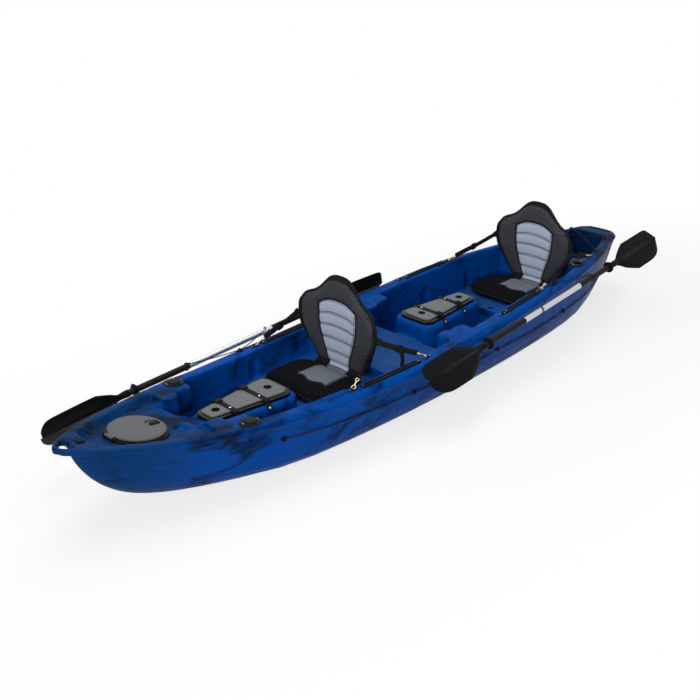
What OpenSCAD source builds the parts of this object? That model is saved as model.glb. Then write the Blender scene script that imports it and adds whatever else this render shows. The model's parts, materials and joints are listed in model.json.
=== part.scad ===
// Two-seat sit-on-top touring and fishing kayak with seats, hatches, paddles and deck fittings.
// +X runs to the bow, +Y to port and +Z up. The origin is on the keel, halfway along the hull.

/* [Hull] */
// Length from the bow rim to the stern rim
overall_length = 3700; // [3600:10:3900]
// Widest beam over the gunwale rim
beam = 780; // [750:5:840]
// Height of the gunwale above the keel beside the front seat
gunwale_height = 296; // [288:1:312]
// Extra height of the rim at the bow
bow_rise = 110; // [90:1:130]
// Extra height of the gunwale beside the rear seat
stern_rise = 60; // [50:1:70]
// Thickness of the moulded skin
skin = 4; // [3.5:0.5:5]
// Height of the gunwale rim band
rim_band = 28; // [24:1:34]
// How far the bow rim stands out past the stem
bow_overhang = 58; // [50:1:66]
// Width of the gunwale top beside the seats
rim_width = 85; // [82:1:90]
// Depth of the recessed bow deck below the rim
deck_recess = 28; // [22:1:32]
// Height of the footwell floor above the keel
floor_z = 70; // [60:1:76]
// Height of the floor under the seats
seat_floor_z = 160; // [152:1:164]
// Height of the ribbed deck between the two cockpits
mid_deck_z = 215; // [205:1:225]
// Diameter of the drain tubes at the floor
scupper_d = 32; // [24:1:36]

/* [Hatches] */
// Place of the round bow hatch along the hull
bow_hatch_x = 1486; // [1476:1:1496]
// Diameter of the round bow hatch lid
bow_lid_d = 230; // [222:1:242]
// Thickness of the round lid at its edge
bow_lid_t = 12; // [10:0.5:14]
// Place of the front console lid along the hull
console_x = 955; // [945:1:965]
// Distance from the front console lid to the rear one
console_pitch = 1300; // [1290:1:1310]
// Length of a console lid
lid_length = 425; // [400:1:435]
// Width of a console lid at its wide end
lid_width = 198; // [180:1:206]
// Width of a console lid at its narrow end
lid_tip_width = 118; // [100:1:140]
// Thickness of the grey lid plate
lid_plate_t = 8; // [6:0.5:10]
// Thickness of the black lid tray
lid_tray_t = 14; // [12:0.5:16]
// Height of the front console top
front_console_z = 252; // [246:1:258]
// Height of the rear console top
rear_console_z = 290; // [284:1:296]
// Width of the lid straps
lid_strap_w = 26; // [20:1:30]

/* [Seats] */
// Place of the front seat back's fold line along the hull
seat_fold_x = 356; // [350:1:362]
// Distance from the front seat to the rear seat
seat_pitch = 1502; // [1495:1:1510]
// Height of the seat back
back_height = 440; // [420:1:455]
// Greatest width of the seat back
back_width = 490; // [460:1:500]
// Thickness of the seat back padding
back_thickness = 46; // [38:1:50]
// Length of a seat pad
pad_length = 292; // [270:1:300]
// Width of a seat pad
pad_width = 490; // [460:1:492]
// Thickness of a seat pad
pad_thickness = 60; // [52:1:62]
// Width of the seat webbing
webbing_w = 25; // [20:1:30]

/* [Paddles] */
// Length of a paddle from tip to tip
paddle_length = 2070; // [2020:10:2120]
// Diameter of a paddle shaft
shaft_d = 29; // [27:0.5:31]
// Length of a paddle blade with its throat
blade_length = 480; // [460:5:500]
// Width of a paddle blade
blade_width = 168; // [158:1:178]
// Diameter of the drip rings
drip_ring_d = 58; // [50:1:62]

/* [Fittings] */
// Bore of the rod holders
rod_bore_d = 44; // [40:0.5:46]
// Length of the rod holder tubes
rod_tube_length = 160; // [140:1:165]
// Length of a front accessory rail
front_rail_length = 360; // [320:5:380]
// Length of a rear accessory rail
rear_rail_length = 300; // [260:5:310]
// Width of an accessory rail
rail_w = 26; // [22:1:28]
// Diameter of the deck line cord
line_d = 6; // [5:0.5:7]
// Diameter of the bungee cord
bungee_d = 5; // [4:0.5:6]
// Diameter of the drain plug
plug_d = 30; // [26:1:34]

/* [Hidden] */

seat_gap = 0.4;
run_gap = 0.3;
half_l = overall_length / 2;
// Share by which places along the hull move with its length
along = overall_length / 3700;
bow_hatch_at = bow_hatch_x * along;
console_at = console_x * along;
console_step = console_pitch * along;
fold_at = seat_fold_x * along;
seat_step = seat_pitch * along;
stern_overhang = 14;
stern_kick = 12;
stern_drop = 24;
stern_round = 110;
stern_full = 190;
stem_height = 385;
stern_foot = 290;
groove_h = 7;
lip_step = 9;
parting_step = 1.5;
stations = 28;
rear_lift = 8;
well_bow = 1275 * along;
well_stern = -1235 * along;
tank_bow = -1325 * along;
tank_stern = -1690 * along;
tank_floor_z = 196;
dish_aft = 1262 * along;
dish_bow = 1706 * along;
console_shoulder = 22;

// Half breadth and height of the hull section, from the keel to the rim
flat_y = [0.10, 0.15, 0.24, 0.30, 0.50, 0.64, 0.745, 0.825, 0.885, 0.935, 0.97, 1];
flat_z = [0, 0, 0, 0, 0, 0.035, 0.10, 0.21, 0.38, 0.62, 0.85, 1];
vee_z = [0, 0.006, 0.016, 0.03, 0.06, 0.12, 0.20, 0.31, 0.45, 0.64, 0.85, 1];

function clamp01(t) = min(1, max(0, t));
function mix(a, b, t) = a + (b - a) * t;
function ease(t) = let(c = clamp01(t)) c * c * (3 - 2 * c);

// Curves of the gunwale: its height and half beam
bow_rise_from = 500 * along;
function sheer_curve(x) = gunwale_height
    + bow_rise * pow(clamp01((x - bow_rise_from) / (half_l - bow_rise_from)), 2)
    + stern_rise * (1 - cos(180 * clamp01((400 * along - x) / (1300 * along)))) / 2
    + stern_kick * pow(clamp01((-900 * along - x) / (half_l - 900 * along)), 2)
    - stern_drop * pow(clamp01((stern_round - half_l - x) / stern_round), 2);
function beam_curve(x) = beam / 2
    * pow(max(0.00001, 1 - pow(min(1, abs(x) / half_l), 2.2)),
        x > 0 ? 0.65 : mix(0.6, 0.42, clamp01((stern_full - half_l - x) / stern_full)));

// The moulding follows the curves in straight runs between stations, and so do its fittings
station_u = [for (i = [0:stations]) 0.9995 * sin(-90 + 180 * i / stations)];
sheer_runs = [for (u = station_u) [u * half_l, sheer_curve(u * half_l)]];
beam_runs = [for (u = station_u) [u * half_l, beam_curve(u * half_l)]];
function sheer(x) = lookup(x, sheer_runs);
function half_beam(x) = lookup(x, beam_runs);

// Keel height and bow and stern shape at a place along the hull
stem_from = 900 * along;
foot_from = 1200 * along;
function keel(x) = x > stem_from
    ? stem_height * (1 - pow(1 - pow(min(1, (x - stem_from) / (half_l - bow_overhang - stem_from)), 4), 0.72))
    : x < -foot_from ? stern_foot * pow((-x - foot_from) / (half_l - stern_overhang - foot_from), 8) : 0;
function vee(x) = x > 0 ? ease((x / along - 800) / 850) : 0.7 * ease((-x / along - 1200) / 600);
function bow_fade(x) = ease((x / along - 900) / 260);
function lip(x) = mix(parting_step, lip_step, bow_fade(x));
function rim_w(x) = x > 0 ? mix(rim_width, 50, clamp01((x / along - 700) / 600))
    : mix(rim_width, 54, clamp01((-x / along - 700) / 250));
function slope(x) = atan((sheer(x + 5) - sheer(x - 5)) / 10);
function yaw(x) = atan((half_beam(x + 5) - half_beam(x - 5)) / 10);
function low_x(u) = u * (u > 0 ? half_l - bow_overhang : half_l - stern_overhang);
function low_u(x) = x / (x > 0 ? half_l - bow_overhang : half_l - stern_overhang);

// One side of the lower hull section, keel first, drawn in by g
function side_points(u, g, top) = let(
        x = low_x(u),
        b = max(2, half_beam(u * half_l) - lip(x) - g),
        k = keel(x) + (g > 0 ? g + groove_h : 0),
        d = max(2, top - k),
        v = vee(x),
        groove = g > 0 ? 0 : groove_h * (1 - ease(abs(x) / along / 700 - 0.5)))
    [for (i = [0:len(flat_y) - 1])
        [x, b * mix(flat_y[i], 0.02 + 0.98 * pow(vee_z[i], 0.55), v),
         k + d * mix(flat_z[i], vee_z[i], v) + (i == 1 || i == 2 ? groove : 0)]];

// Breadth of the lower hull side at a height
function side_y(x, z) = let(u = low_u(x), p = side_points(u, 0, sheer(x) - rim_band + 2))
    lookup(z, [for (q = p) [q[2], q[1]]]);
function flare(x, z) = atan((side_y(x, z + 8) - side_y(x, z - 8)) / 16);
function side_yaw(x, z) = atan((side_y(x + 8, z) - side_y(x - 8, z)) / 16);

function mirrored(half) = concat(
    [for (i = [len(half) - 1:-1:0]) [half[i][0], -half[i][1], half[i][2]]], half);

// A closed skin through rings of points that follow each other along +X
module loft(rings) {
    n = len(rings[0]);
    m = len(rings);
    polyhedron(
        points = [for (r = rings) each r],
        faces = concat(
            [[for (j = [0:n - 1]) j]],
            [for (i = [0:m - 2], j = [0:n - 1])
                let(a = i * n + j, b = i * n + (j + 1) % n, c = a + n, d = b + n)
                each [[a, d, b], [a, c, d]]],
            [[for (j = [n - 1:-1:0]) (m - 1) * n + j]]),
        convexity = 10);
}

module lower_hull() {
    loft([for (u = station_u) mirrored(side_points(u, 0, sheer(low_x(u)) - rim_band + 2))]);
}

// The rim: a rounded shoulder beside the seats that sharpens to a lip at the bow
function rim_points(x) = let(
        b = half_beam(x), s = sheer(x), f = bow_fade(x), c = min(1, b / 60))
    [[x, b - 3 * c, s - rim_band],
     [x, b, s - rim_band + 5],
     [x, b - mix(3, 0.5, f) * c, s - mix(19, 8, f)],
     [x, b - mix(13, 3, f) * c, s - mix(7, 2, f)],
     [x, b - mix(30, 9, f) * c, s]];

module rim() {
    loft([for (u = station_u) mirrored(rim_points(u * half_l))]);
}

// The space inside the skin
module inner_space() {
    top_round = 34;
    inner_stations = 20;
    kept = [0, 4, 5, 6, 7, 9, 11];
    loft([for (i = [1:inner_stations - 1])
        let(u = 0.988 * sin(-90 + 180 * i / inner_stations), x = low_x(u),
            p = side_points(u, skin, sheer(x) - rim_band - 2))
        mirrored(concat([for (k = kept) p[k]],
            [[x, max(1, half_beam(u * half_l) - lip(x) - skin - min(top_round, half_beam(x) / 2)),
              sheer(x) - skin]]))]);
}

// Facets of a round form: fewer on the hidden inside
function facets(n, g) = g > 0 ? max(8, floor(n / 2)) : n;

// A trough cut down from the rim, grown by g, with its own floor height
module trough(x0, x1, count, inset, draft, floor_at, g) {
    loft([for (i = [0:count])
        let(x = mix(x0 - g, x1 + g, i / count),
            xs = min(x1, max(x0, x)),
            w = max(12, half_beam(xs) - inset(xs)) + g,
            f = floor_at(xs) - g,
            s = sheer(xs))
        mirrored([[x, max(6, w - draft - 16), f], [x, max(8, w - draft), f + 16],
                  [x, w, s - 4], [x, w, s + 90]])]);
}

module well(g) {
    trough(well_stern, well_bow, g > 0 ? 14 : 22, function(x) rim_w(x), 16, function(x) floor_z, g);
}
module tank_well(g) {
    trough(tank_stern, tank_bow, 8, function(x) rim_w(x), 18, function(x) tank_floor_z, g);
}
module bow_dish(g) {
    trough(dish_aft, dish_bow, 10, function(x) rim_w(x) - 4, 8,
        function(x) sheer(x) - deck_recess, g);
}

// A moulded rise in the cockpit, drawn in by g, with drafted sides
module rise(x0, x1, y0, y1, top, g, r = 24, draft = 10) {
    hull() for (x = [x0 + r, x1 - r], y = [y0 + r, y1 - r]) translate([x, y, floor_z - 30])
        cylinder(r1 = r + draft - g, r2 = r - g, h = top - floor_z + 30 - g, $fn = facets(16, g));
}

module both_sides() {
    children();
    mirror([0, 1, 0]) children();
}

// A console under a lid: wide at one end, narrow at the other
wide_r = 46;
tip_r = 34;
module console_shape(grow, sides = 36) {
    hull() for (s = [-1, 1]) {
        translate([-lid_length / 2 + wide_r, s * (lid_width / 2 - wide_r)])
            circle(r = wide_r + grow, $fn = sides);
        translate([lid_length / 2 - tip_r, s * (lid_tip_width / 2 - tip_r)])
            circle(r = tip_r + grow, $fn = sides);
    }
}
module console_block(top, g) {
    hull() {
        n = facets(20, g);
        translate([0, 0, floor_z - 30]) linear_extrude(1) console_shape(console_shoulder + 22 - g, n);
        translate([0, 0, top - 16]) linear_extrude(1) console_shape(console_shoulder + 2 - g, n);
        translate([0, 0, top - 1 - g]) linear_extrude(1) console_shape(console_shoulder - 8 - g, n);
    }
}
module at_front_console(z) { translate([console_at, 0, z]) children(); }
module at_rear_console(z) {
    translate([console_at - console_step, 0, z]) rotate([0, 0, 180]) children();
}

// Footrest steps: blocks on the cockpit walls that brace the feet at three lengths
step_length = 120;
step_x = [for (x = [1085, 1180]) [x * along, x * along + step_length]];
step_y = [170, 132];
step_top = 700;
module foot_steps(g) {
    both_sides() for (k = [0, 1], d = [0, console_step]) let(spread = d > 0 ? 66 : 0)
        rise(step_x[k][0] - d, step_x[k][1] - d - (d > 0 ? 55 * k : 0),
            step_y[k] + spread + 20 * k * (d > 0 ? 1 : 0), 460, step_top, g, 16, 6);
}

// Corner blocks that carry the rear rod holders
module rear_corners(g) {
    both_sides() rise(rod_rear_x - 99, rod_rear_x + 47, 148, 420, step_top, g, 20, 6);
}

// A ridge from the front console up to the bow deck
spine_w = 144;
spine_aft = 1180 * along;
module spine(g) {
    hull() for (e = [[spine_aft, front_console_z - 8], [well_bow + 20, sheer(well_bow) - deck_recess - 1]])
        translate([e[0] - 5, -spine_w / 2 + g, floor_z - 30])
            cube([10, spine_w - 2 * g, e[1] - floor_z + 30 - g]);
}

module floor_rises(g) {
    seat_front = 700 * along;
    mid_front = 268 * along;
    mid_aft = -96 * along;
    rise(mid_front - 60, seat_front, -420, 420, seat_floor_z, g, 30);
    rise(mid_aft, mid_front, -420, 420, mid_deck_z, g, 20);
    rise(well_stern - 60, seat_front - seat_step + 60, -420, 420, seat_floor_z + rear_lift, g, 30);
    at_front_console(0) console_block(front_console_z, g);
    at_rear_console(0) console_block(rear_console_z, g);
    spine(g);
    foot_steps(g);
    rear_corners(g);
}

// Drain tubes from the cockpit floor to the bottom
scuppers = [[718, 0], [880, 190], [880, -190], [-772, 0], [-420, 232], [-420, -232],
    [-1470, 70], [-1470, -70]];
module scupper_cuts(g) {
    for (p = scuppers) translate([p[0] * along, p[1], -5])
        cylinder(r1 = scupper_d / 2 - 5 + g, r2 = scupper_d / 2 + 3 + g, h = 240, $fn = facets(16, g));
}

// Vertical grooves in the cockpit side walls
groove_x = [655, -560, -905] * along;
module wall_grooves(g) {
    both_sides() for (x = groove_x)
        hull() for (dx = [-16, 16], z = [150, 250]) translate([x + dx, 0, z])
            rotate([-90, 0, 0]) cylinder(r = 12 + g, h = half_beam(x) - rim_w(x) + 9 + g,
                $fn = 8);
}

module on_deck(x, inset) {
    translate([x, half_beam(x) - inset, sheer(x)]) rotate([0, 0, yaw(x)])
        rotate([0, -slope(x), 0]) children();
}
module at_bow_hatch() {
    translate([bow_hatch_at, 0, sheer(bow_hatch_at) - deck_recess])
        rotate([0, -slope(bow_hatch_at), 0]) children();
}

// Flat seats cut in the gunwale and deck for the fittings
rail_inset = 54;
rail_seat = 3;
front_rail_x = 380 * along;
rear_rail_x = -588 * along;
front_rail_l = front_rail_length * along;
rear_rail_l = rear_rail_length * along;
module rail_seats(g) {
    both_sides() for (r = [[front_rail_x, front_rail_l], [rear_rail_x, rear_rail_l]])
        on_deck(r[0], rail_inset) translate([0, 0, 15 - rail_seat - g])
            cube([r[1] + 1 + 2 * g, rail_w + 1 + 2 * g, 30], center = true);
}
hatch_ring_d = bow_lid_d + 26;
module bow_hatch_seat(g) {
    at_bow_hatch() translate([0, 0, -g]) cylinder(d = hatch_ring_d + 30 + 2 * g, h = 80,
        $fn = facets(48, g));
}
// Seat face of a rod holder flange, in its own frame
rod_front_x = 1122 * along;
rod_rear_x = -1211 * along;
rod_front_inset = 52;
rod_rear_inset = 62;
rod_lean = 15;
rod_wall = 2.5;
rod_tube_d = rod_bore_d + 2 * rod_wall;
flange_l = 92;
flange_w = 72;
flange_t = 6;
rod_seat = 2;
module at_rod(x, inset) {
    translate([x, half_beam(x) - inset, sheer(x) - rod_seat]) rotate([0, -slope(x), 0]) children();
}
module rod_seats(g) {
    both_sides() for (r = [[rod_front_x, rod_front_inset], [rod_rear_x, rod_rear_inset]])
        at_rod(r[0], r[1]) {
            translate([0, 0, -g]) linear_extrude(40) hull() for (s = [-1, 1])
                translate([s * (flange_l - flange_w) / 2, 0]) circle(d = flange_w + 2 + 2 * g, $fn = 20);
            rotate([-rod_lean, 0, 0]) translate([0, 0, -60])
                cylinder(d = rod_tube_d + 2 + g, h = 90, $fn = 20);
        }
}
plug_x = 1733 * along;
module at_plug() {
    translate([plug_x, 0, sheer(plug_x)]) rotate([0, -slope(plug_x), 0]) children();
}
plug_seat = 11;
module plug_recess(g) {
    at_plug() translate([0, 0, -plug_seat - g]) cylinder(d = plug_d + 20 + 2 * g, h = 60,
        $fn = facets(24, g));
}
// Carrying holds: a hole through the bow rim and a hand slot across the stern
module bow_hold() {
    hull() {
        for (s = [-1, 1]) translate([half_l - 60, s * 34, 0]) cylinder(r = 9, h = 800, $fn = 20);
        translate([half_l - 32, 0, 0]) cylinder(r = 12, h = 800, $fn = 20);
    }
}
module stern_hold(g) {
    slot_x = 74 - half_l;
    hull() for (s = [-1, 1]) translate([slot_x, s * 60, sheer(slot_x) - 36 - g])
        cylinder(r1 = 12 + g, r2 = 17 + g, h = 60, $fn = 20);
}
// A shallow moulded pocket beside the bow hatch
module deck_pocket(g) {
    pocket_x = bow_hatch_at - 156;
    hull() for (x = [pocket_x - 18, pocket_x + 20], y = [55, 98])
        translate([x, y, sheer(pocket_x) - deck_recess - 12 - g])
        cylinder(r = 7 + g, h = 60, $fn = 12);
}

module cockpit_cuts(g) {
    difference() {
        union() {
            well(g);
            wall_grooves(g);
        }
        floor_rises(g);
    }
    tank_well(g);
    bow_dish(g);
    deck_pocket(g);
    stern_hold(g);
    scupper_cuts(g);
    rail_seats(g);
    bow_hatch_seat(g);
    plug_recess(g);
}

// Fine ribs moulded in the deck between the cockpits
module deck_ribs() {
    rib_w = 6;
    rib_pitch = 24;
    for (i = [0:9]) let(reach = 150 - 4 * i)
        translate([-70 * along + rib_pitch * i, -reach, mid_deck_z - 2]) cube([rib_w, 2 * reach, 10]);
}

module hatch_mouths() {
    at_bow_hatch() translate([0, 0, -60]) cylinder(d = mouth_d, h = 120, $fn = 40);
    at_front_console(front_console_z - 30) linear_extrude(60) console_shape(-26, 24);
    at_rear_console(rear_console_z - 30) linear_extrude(60) console_shape(-26, 24);
}

module hull_shell() color([0.03, 0.14, 0.45]) difference() {
    union() {
        lower_hull();
        rim();
    }
    cockpit_cuts(0);
    difference() {
        inner_space();
        cockpit_cuts(skin);
    }
    rod_seats(0);
    hatch_mouths();
    bow_hold();
    deck_ribs();
}

// Round bow hatch, in the frame of its flat seat
hatch_flange_t = 7;
mouth_d = bow_lid_d - 40;
spigot_t = 4;
hatch_pin_d = 5;
knuckle_d = 13;
hinge_x = hatch_ring_d / 2 - 1;
hinge_z = hatch_flange_t + 7;
knuckle_half = 24;
lug_end = 36;
lid_low = hatch_flange_t + seat_gap;

module hinge_barrel(y0, y1) {
    translate([hinge_x, y0, hinge_z]) rotate([-90, 0, 0]) cylinder(d = knuckle_d, h = y1 - y0, $fn = 32);
}
module hinge_bore(d) {
    translate([hinge_x, -60, hinge_z]) rotate([-90, 0, 0]) cylinder(d = d, h = 120, $fn = 32);
}

module bow_hatch_ring() color([0.05, 0.05, 0.06]) at_bow_hatch() difference() {
    union() {
        rotate_extrude($fn = 96) polygon([
            [mouth_d / 2 - 1 - spigot_t, -16], [mouth_d / 2 - 1, -16], [mouth_d / 2 - 1, seat_gap],
            [hatch_ring_d / 2, seat_gap], [hatch_ring_d / 2, hatch_flange_t - 2],
            [hatch_ring_d / 2 - 2, hatch_flange_t], [mouth_d / 2 - 1 - spigot_t, hatch_flange_t]]);
        for (y = [-lug_end, knuckle_half + run_gap]) {
            hinge_barrel(y, y + lug_end - knuckle_half - run_gap);
            translate([hinge_x - knuckle_d / 2, y, seat_gap])
                cube([knuckle_d, lug_end - knuckle_half - run_gap, hinge_z - seat_gap]);
        }
    }
    hinge_bore(hatch_pin_d + 0.1);
}

latch_x = -94;
latch_z = lid_low + bow_lid_t - 1.5;
latch_recess_d = 62;
latch_recess_x = -72;
latch_floor_z = lid_low + bow_lid_t - 5;
module bow_hatch_lid() color([0.25, 0.26, 0.27]) at_bow_hatch() difference() {
    union() {
        rotate_extrude($fn = 96) polygon([
            [0, lid_low], [bow_lid_d / 2 - 4, lid_low], [bow_lid_d / 2, lid_low + 3],
            [bow_lid_d / 2, lid_low + bow_lid_t - 4], [bow_lid_d / 2 - 5, lid_low + bow_lid_t],
            [0, lid_low + bow_lid_t + 1.5]]);
        hinge_barrel(-knuckle_half, knuckle_half);
        translate([bow_lid_d / 2 - 10, -knuckle_half + 2, hinge_z - 4])
            cube([hinge_x - bow_lid_d / 2 + 8, 2 * knuckle_half - 4, 8]);
    }
    hinge_bore(hatch_pin_d + 0.1);
    translate([latch_recess_x, 0, latch_floor_z]) cylinder(d = latch_recess_d, h = 30, $fn = 48);
}
module bow_hatch_latch() color([0.04, 0.04, 0.05]) at_bow_hatch() difference() {
    union() {
        translate([latch_x, -12, latch_z]) rotate([-90, 0, 0]) cylinder(d = 6, h = 24, $fn = 24);
        translate([latch_x, -10, latch_z - 2.6]) cube([26, 20, 4.6]);
        translate([latch_x + 26, 0, latch_z - 2.6]) cylinder(d = 20, h = 4.6, $fn = 32);
    }
    translate([latch_x + 26, 0, latch_z + 0.6]) cylinder(d = 12, h = 10, $fn = 24);
}
module bow_hatch_pin() color("silver") at_bow_hatch()
    translate([hinge_x, -lug_end, hinge_z]) rotate([-90, 0, 0])
        cylinder(d = hatch_pin_d, h = 2 * lug_end, $fn = 32);

// Console lids, in the frame of the console top
lid_taper = atan((lid_width / 2 - wide_r - lid_tip_width / 2 + tip_r) / (lid_length - wide_r - tip_r))
    + asin((wide_r - tip_r) / (lid_length - wide_r - tip_r));
function lid_half(x) = (wide_r + sin(lid_taper) * (wide_r - lid_length / 2)
    + cos(lid_taper) * (lid_width / 2 - wide_r) - sin(lid_taper) * x) / cos(lid_taper);
finger_hole_d = 26;
finger_hole_x = 148;
front_strap_x = [92, -62];
rear_strap_x = [72, -98];
strap_t = 2.2;
plate_inset = 13;
lid_top = seat_gap + lid_tray_t + lid_plate_t;
tray_lip = 9;

module lid_tray() {
    translate([0, 0, seat_gap]) linear_extrude(lid_tray_t) console_shape(0);
    translate([0, 0, seat_gap - tray_lip]) linear_extrude(tray_lip + 1) console_shape(-31);
}
module lid_plate() difference() {
    translate([0, 0, seat_gap + lid_tray_t]) linear_extrude(lid_plate_t) console_shape(-plate_inset);
    for (x = [-finger_hole_x, finger_hole_x]) translate([x, 0, 0])
        cylinder(d = finger_hole_d, h = 60, $fn = 36);
}
// A strap over the lid with its buckle on the side given by s
module lid_strap(x, s) {
    h = lid_half(x - lid_strap_w / 2) + 1;
    top = lid_top + 0.2;
    translate([x + lid_strap_w / 2, 0, 0]) rotate([90, 0, -90]) linear_extrude(lid_strap_w)
        polygon([[-h - strap_t, 4], [-h - strap_t, top + strap_t], [h + strap_t, top + strap_t],
            [h + strap_t, 4], [h, 4], [h, top], [-h, top], [-h, 4]]);
    translate([x - lid_strap_w / 2 - 4, s * (h - 26) - 16, top + strap_t])
        cube([lid_strap_w + 8, 32, 7]);
    translate([x - 8, s * (h - 26) - 7, top + strap_t + 7]) cube([16, 14, 2]);
}
// A webbing tab screwed to the console's shoulder under the strap
anchor_l = 20;
anchor_t = 2.5;
module strap_anchor(x, s) {
    top_out = console_shoulder - 8;
    low_out = console_shoulder + 2;
    lean = atan((low_out - top_out) / 15);
    h = lid_half(x);
    mirror([0, s < 0 ? 1 : 0, 0]) translate([x, h, 0]) rotate([0, 0, -lid_taper])
        translate([0, (top_out + low_out) / 2, -9]) rotate([lean - 90, 0, 0])
            translate([0, 0, 1]) {
                translate([-lid_strap_w / 2, -anchor_l / 2, 0]) cube([lid_strap_w, anchor_l, anchor_t]);
                translate([0, 0, anchor_t]) cylinder(d = 9, h = 2, $fn = 24);
            }
}

module front_lid_tray() color([0.03, 0.03, 0.03]) at_front_console(front_console_z) lid_tray();
module front_lid_plate() color([0.35, 0.36, 0.37]) at_front_console(front_console_z) lid_plate();
module front_lid_straps() color([0.03, 0.03, 0.03]) at_front_console(front_console_z)
    for (x = front_strap_x) lid_strap(x, -1);
module front_strap_anchors() color([0.03, 0.03, 0.03]) at_front_console(front_console_z)
    for (x = front_strap_x, s = [-1, 1]) strap_anchor(x, s);
module rear_lid_tray() color([0.03, 0.03, 0.03]) at_rear_console(rear_console_z) lid_tray();
module rear_lid_plate() color([0.35, 0.36, 0.37]) at_rear_console(rear_console_z) lid_plate();
module rear_lid_straps() color([0.03, 0.03, 0.03]) at_rear_console(rear_console_z)
    for (x = rear_strap_x) lid_strap(x, -1);
module rear_strap_anchors() color([0.03, 0.03, 0.03]) at_rear_console(rear_console_z)
    for (x = rear_strap_x, s = [-1, 1]) strap_anchor(x, s);

// Cushions: rows of points, each row a closed ring whose two halves face each other
module cushion(rows) {
    n = len(rows[0]);
    m = len(rows);
    k = n / 2;
    polyhedron(
        points = [for (r = rows) each r],
        faces = concat(
            [for (j = [0:k - 2]) each [[j, j + 1, n - 2 - j], [j, n - 2 - j, n - 1 - j]]],
            [for (i = [0:m - 2], j = [0:n - 1])
                let(a = i * n + j, b = i * n + (j + 1) % n, c = a + n, d = b + n)
                each [[a, d, b], [a, c, d]]],
            [for (j = [0:k - 2]) let(o = (m - 1) * n)
                each [[o + j, o + n - 2 - j, o + j + 1], [o + j, o + n - 1 - j, o + n - 2 - j]]]),
        convexity = 6);
}
half_t = [0.2, 0.41, 0.47, 0.53, 0.7, 0.86, 0.95, 1];
across = concat([for (i = [len(half_t) - 1:-1:0]) -half_t[i]], [0], half_t);

back_rows = [0, 0.03, 0.08, 0.135, 0.16, 0.185, 0.25, 0.285, 0.31, 0.335, 0.40, 0.425, 0.45, 0.475,
    0.53, 0.555, 0.58, 0.605, 0.66, 0.70, 0.72, 0.74, 0.82, 0.90, 0.96, 1];
back_channels = [0.16, 0.31, 0.45, 0.58];
panel_edge = 0.47;
panel_top = 0.72;
channel_depth = 4;
border_depth = 5;
seam_share = 0.3;
wing_wrap = 34;
function near(a, b) = abs(a - b) < 0.004 ? 1 : 0;
function back_half(v) = back_width / 2 * (v < 0.6 ? 0.60 + 0.40 * sin(90 * v / 0.6)
    : 1 - 0.07 * pow((v - 0.6) / 0.4, 2));
function back_crest(t) = 0.76 + 0.24 * exp(-pow(abs(t) / 0.52, 3)) - 0.11 * pow(abs(t), 10);
function back_z(t, v) = back_height * v * mix(1, back_crest(t), pow(v, 1.5));
function back_pad(t, v) = back_thickness / 2
    * mix(seam_share, 1, sqrt((1 - pow(abs(t), 4)) * (1 - pow(abs(2 * v - 1), 6))));
function back_groove(t, v) = channel_depth * (abs(t) < 0.42 ? 1 : 0)
        * max([for (c = back_channels) near(v, c)])
    + border_depth * max(near(abs(t), panel_edge) * (v < panel_top + 0.01 ? 1 : 0),
        near(v, panel_top) * (abs(t) < panel_edge + 0.01 ? 1 : 0));
function back_wrap(t, v) = wing_wrap * t * t * ease(v / 0.45);
module seat_back() cushion([for (v = back_rows) concat(
    [for (t = across) [back_wrap(t, v) + back_pad(t, v) - back_groove(t, v),
        t * back_half(v), back_z(t, v)]],
    [for (i = [len(across) - 1:-1:0]) let(t = across[i])
        [back_wrap(t, v) - 0.7 * back_pad(t, v), t * back_half(v), back_z(t, v)]])]);

pad_rows = [-1, -0.95, -0.85, -0.6, -0.3, 0, 0.2, 0.3, 0.36, 0.42, 0.6, 0.8, 0.93, 1];
pad_panel_front = 0.36;
function pad_round(s) = 1 - 0.16 * pow(abs(s), 5);
function pad_x(s, t) = pad_length / 2 * s * (1 - 0.13 * pow(abs(t), 4));
function pad_y(s, t) = pad_width / 2 * t * pad_round(s);
function pad_crown(s, t) = sqrt((1 - pow(abs(s), 4)) * (1 - pow(abs(t), 4)));
function pad_groove(s, t) = border_depth * max(
    near(abs(t), panel_edge) * (s < pad_panel_front + 0.01 ? 1 : 0),
    near(s, pad_panel_front) * (abs(t) < panel_edge + 0.01 ? 1 : 0));
pad_seam_low = 0.30;
pad_seam_high = 0.52;
module seat_pad() cushion([for (s = pad_rows) concat(
    [for (t = across) [pad_x(s, t), pad_y(s, t),
        pad_thickness * pad_seam_low * (1 - sqrt(pad_crown(s, t)))]],
    [for (i = [len(across) - 1:-1:0]) let(t = across[i]) [pad_x(s, t), pad_y(s, t),
        pad_thickness * mix(pad_seam_high, 1, pad_crown(s, t)) - pad_groove(s, t)]])]);

fold_z = seat_floor_z + 58;
pad_x0 = fold_at + 14 + pad_length / 2;
module at_rear_seat() { translate([-seat_step, 0, rear_lift]) children(); }
module place_back() { translate([fold_at, 0, fold_z]) seat_back(); }
module place_pad() { translate([pad_x0, 0, seat_floor_z + seat_gap]) seat_pad(); }
module front_seat_pad() color([0.08, 0.08, 0.09]) place_pad();
module front_seat_back() color([0.10, 0.10, 0.11]) place_back();
module rear_seat_pad() color([0.08, 0.08, 0.09]) at_rear_seat() place_pad();
module rear_seat_back() color([0.10, 0.10, 0.11]) at_rear_seat() place_back();

function unit(v) = v / norm(v);

// Frame at p whose Z axis points along d and whose Y axis stays level
module aim(p, d) {
    u = unit(d);
    side = unit(cross([0, 0, 1], u));
    up = cross(u, side);
    multmatrix([[up[0], side[0], u[0], p[0]], [up[1], side[1], u[1], p[1]],
                [up[2], side[2], u[2], p[2]], [0, 0, 0, 1]]) children();
}

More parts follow.
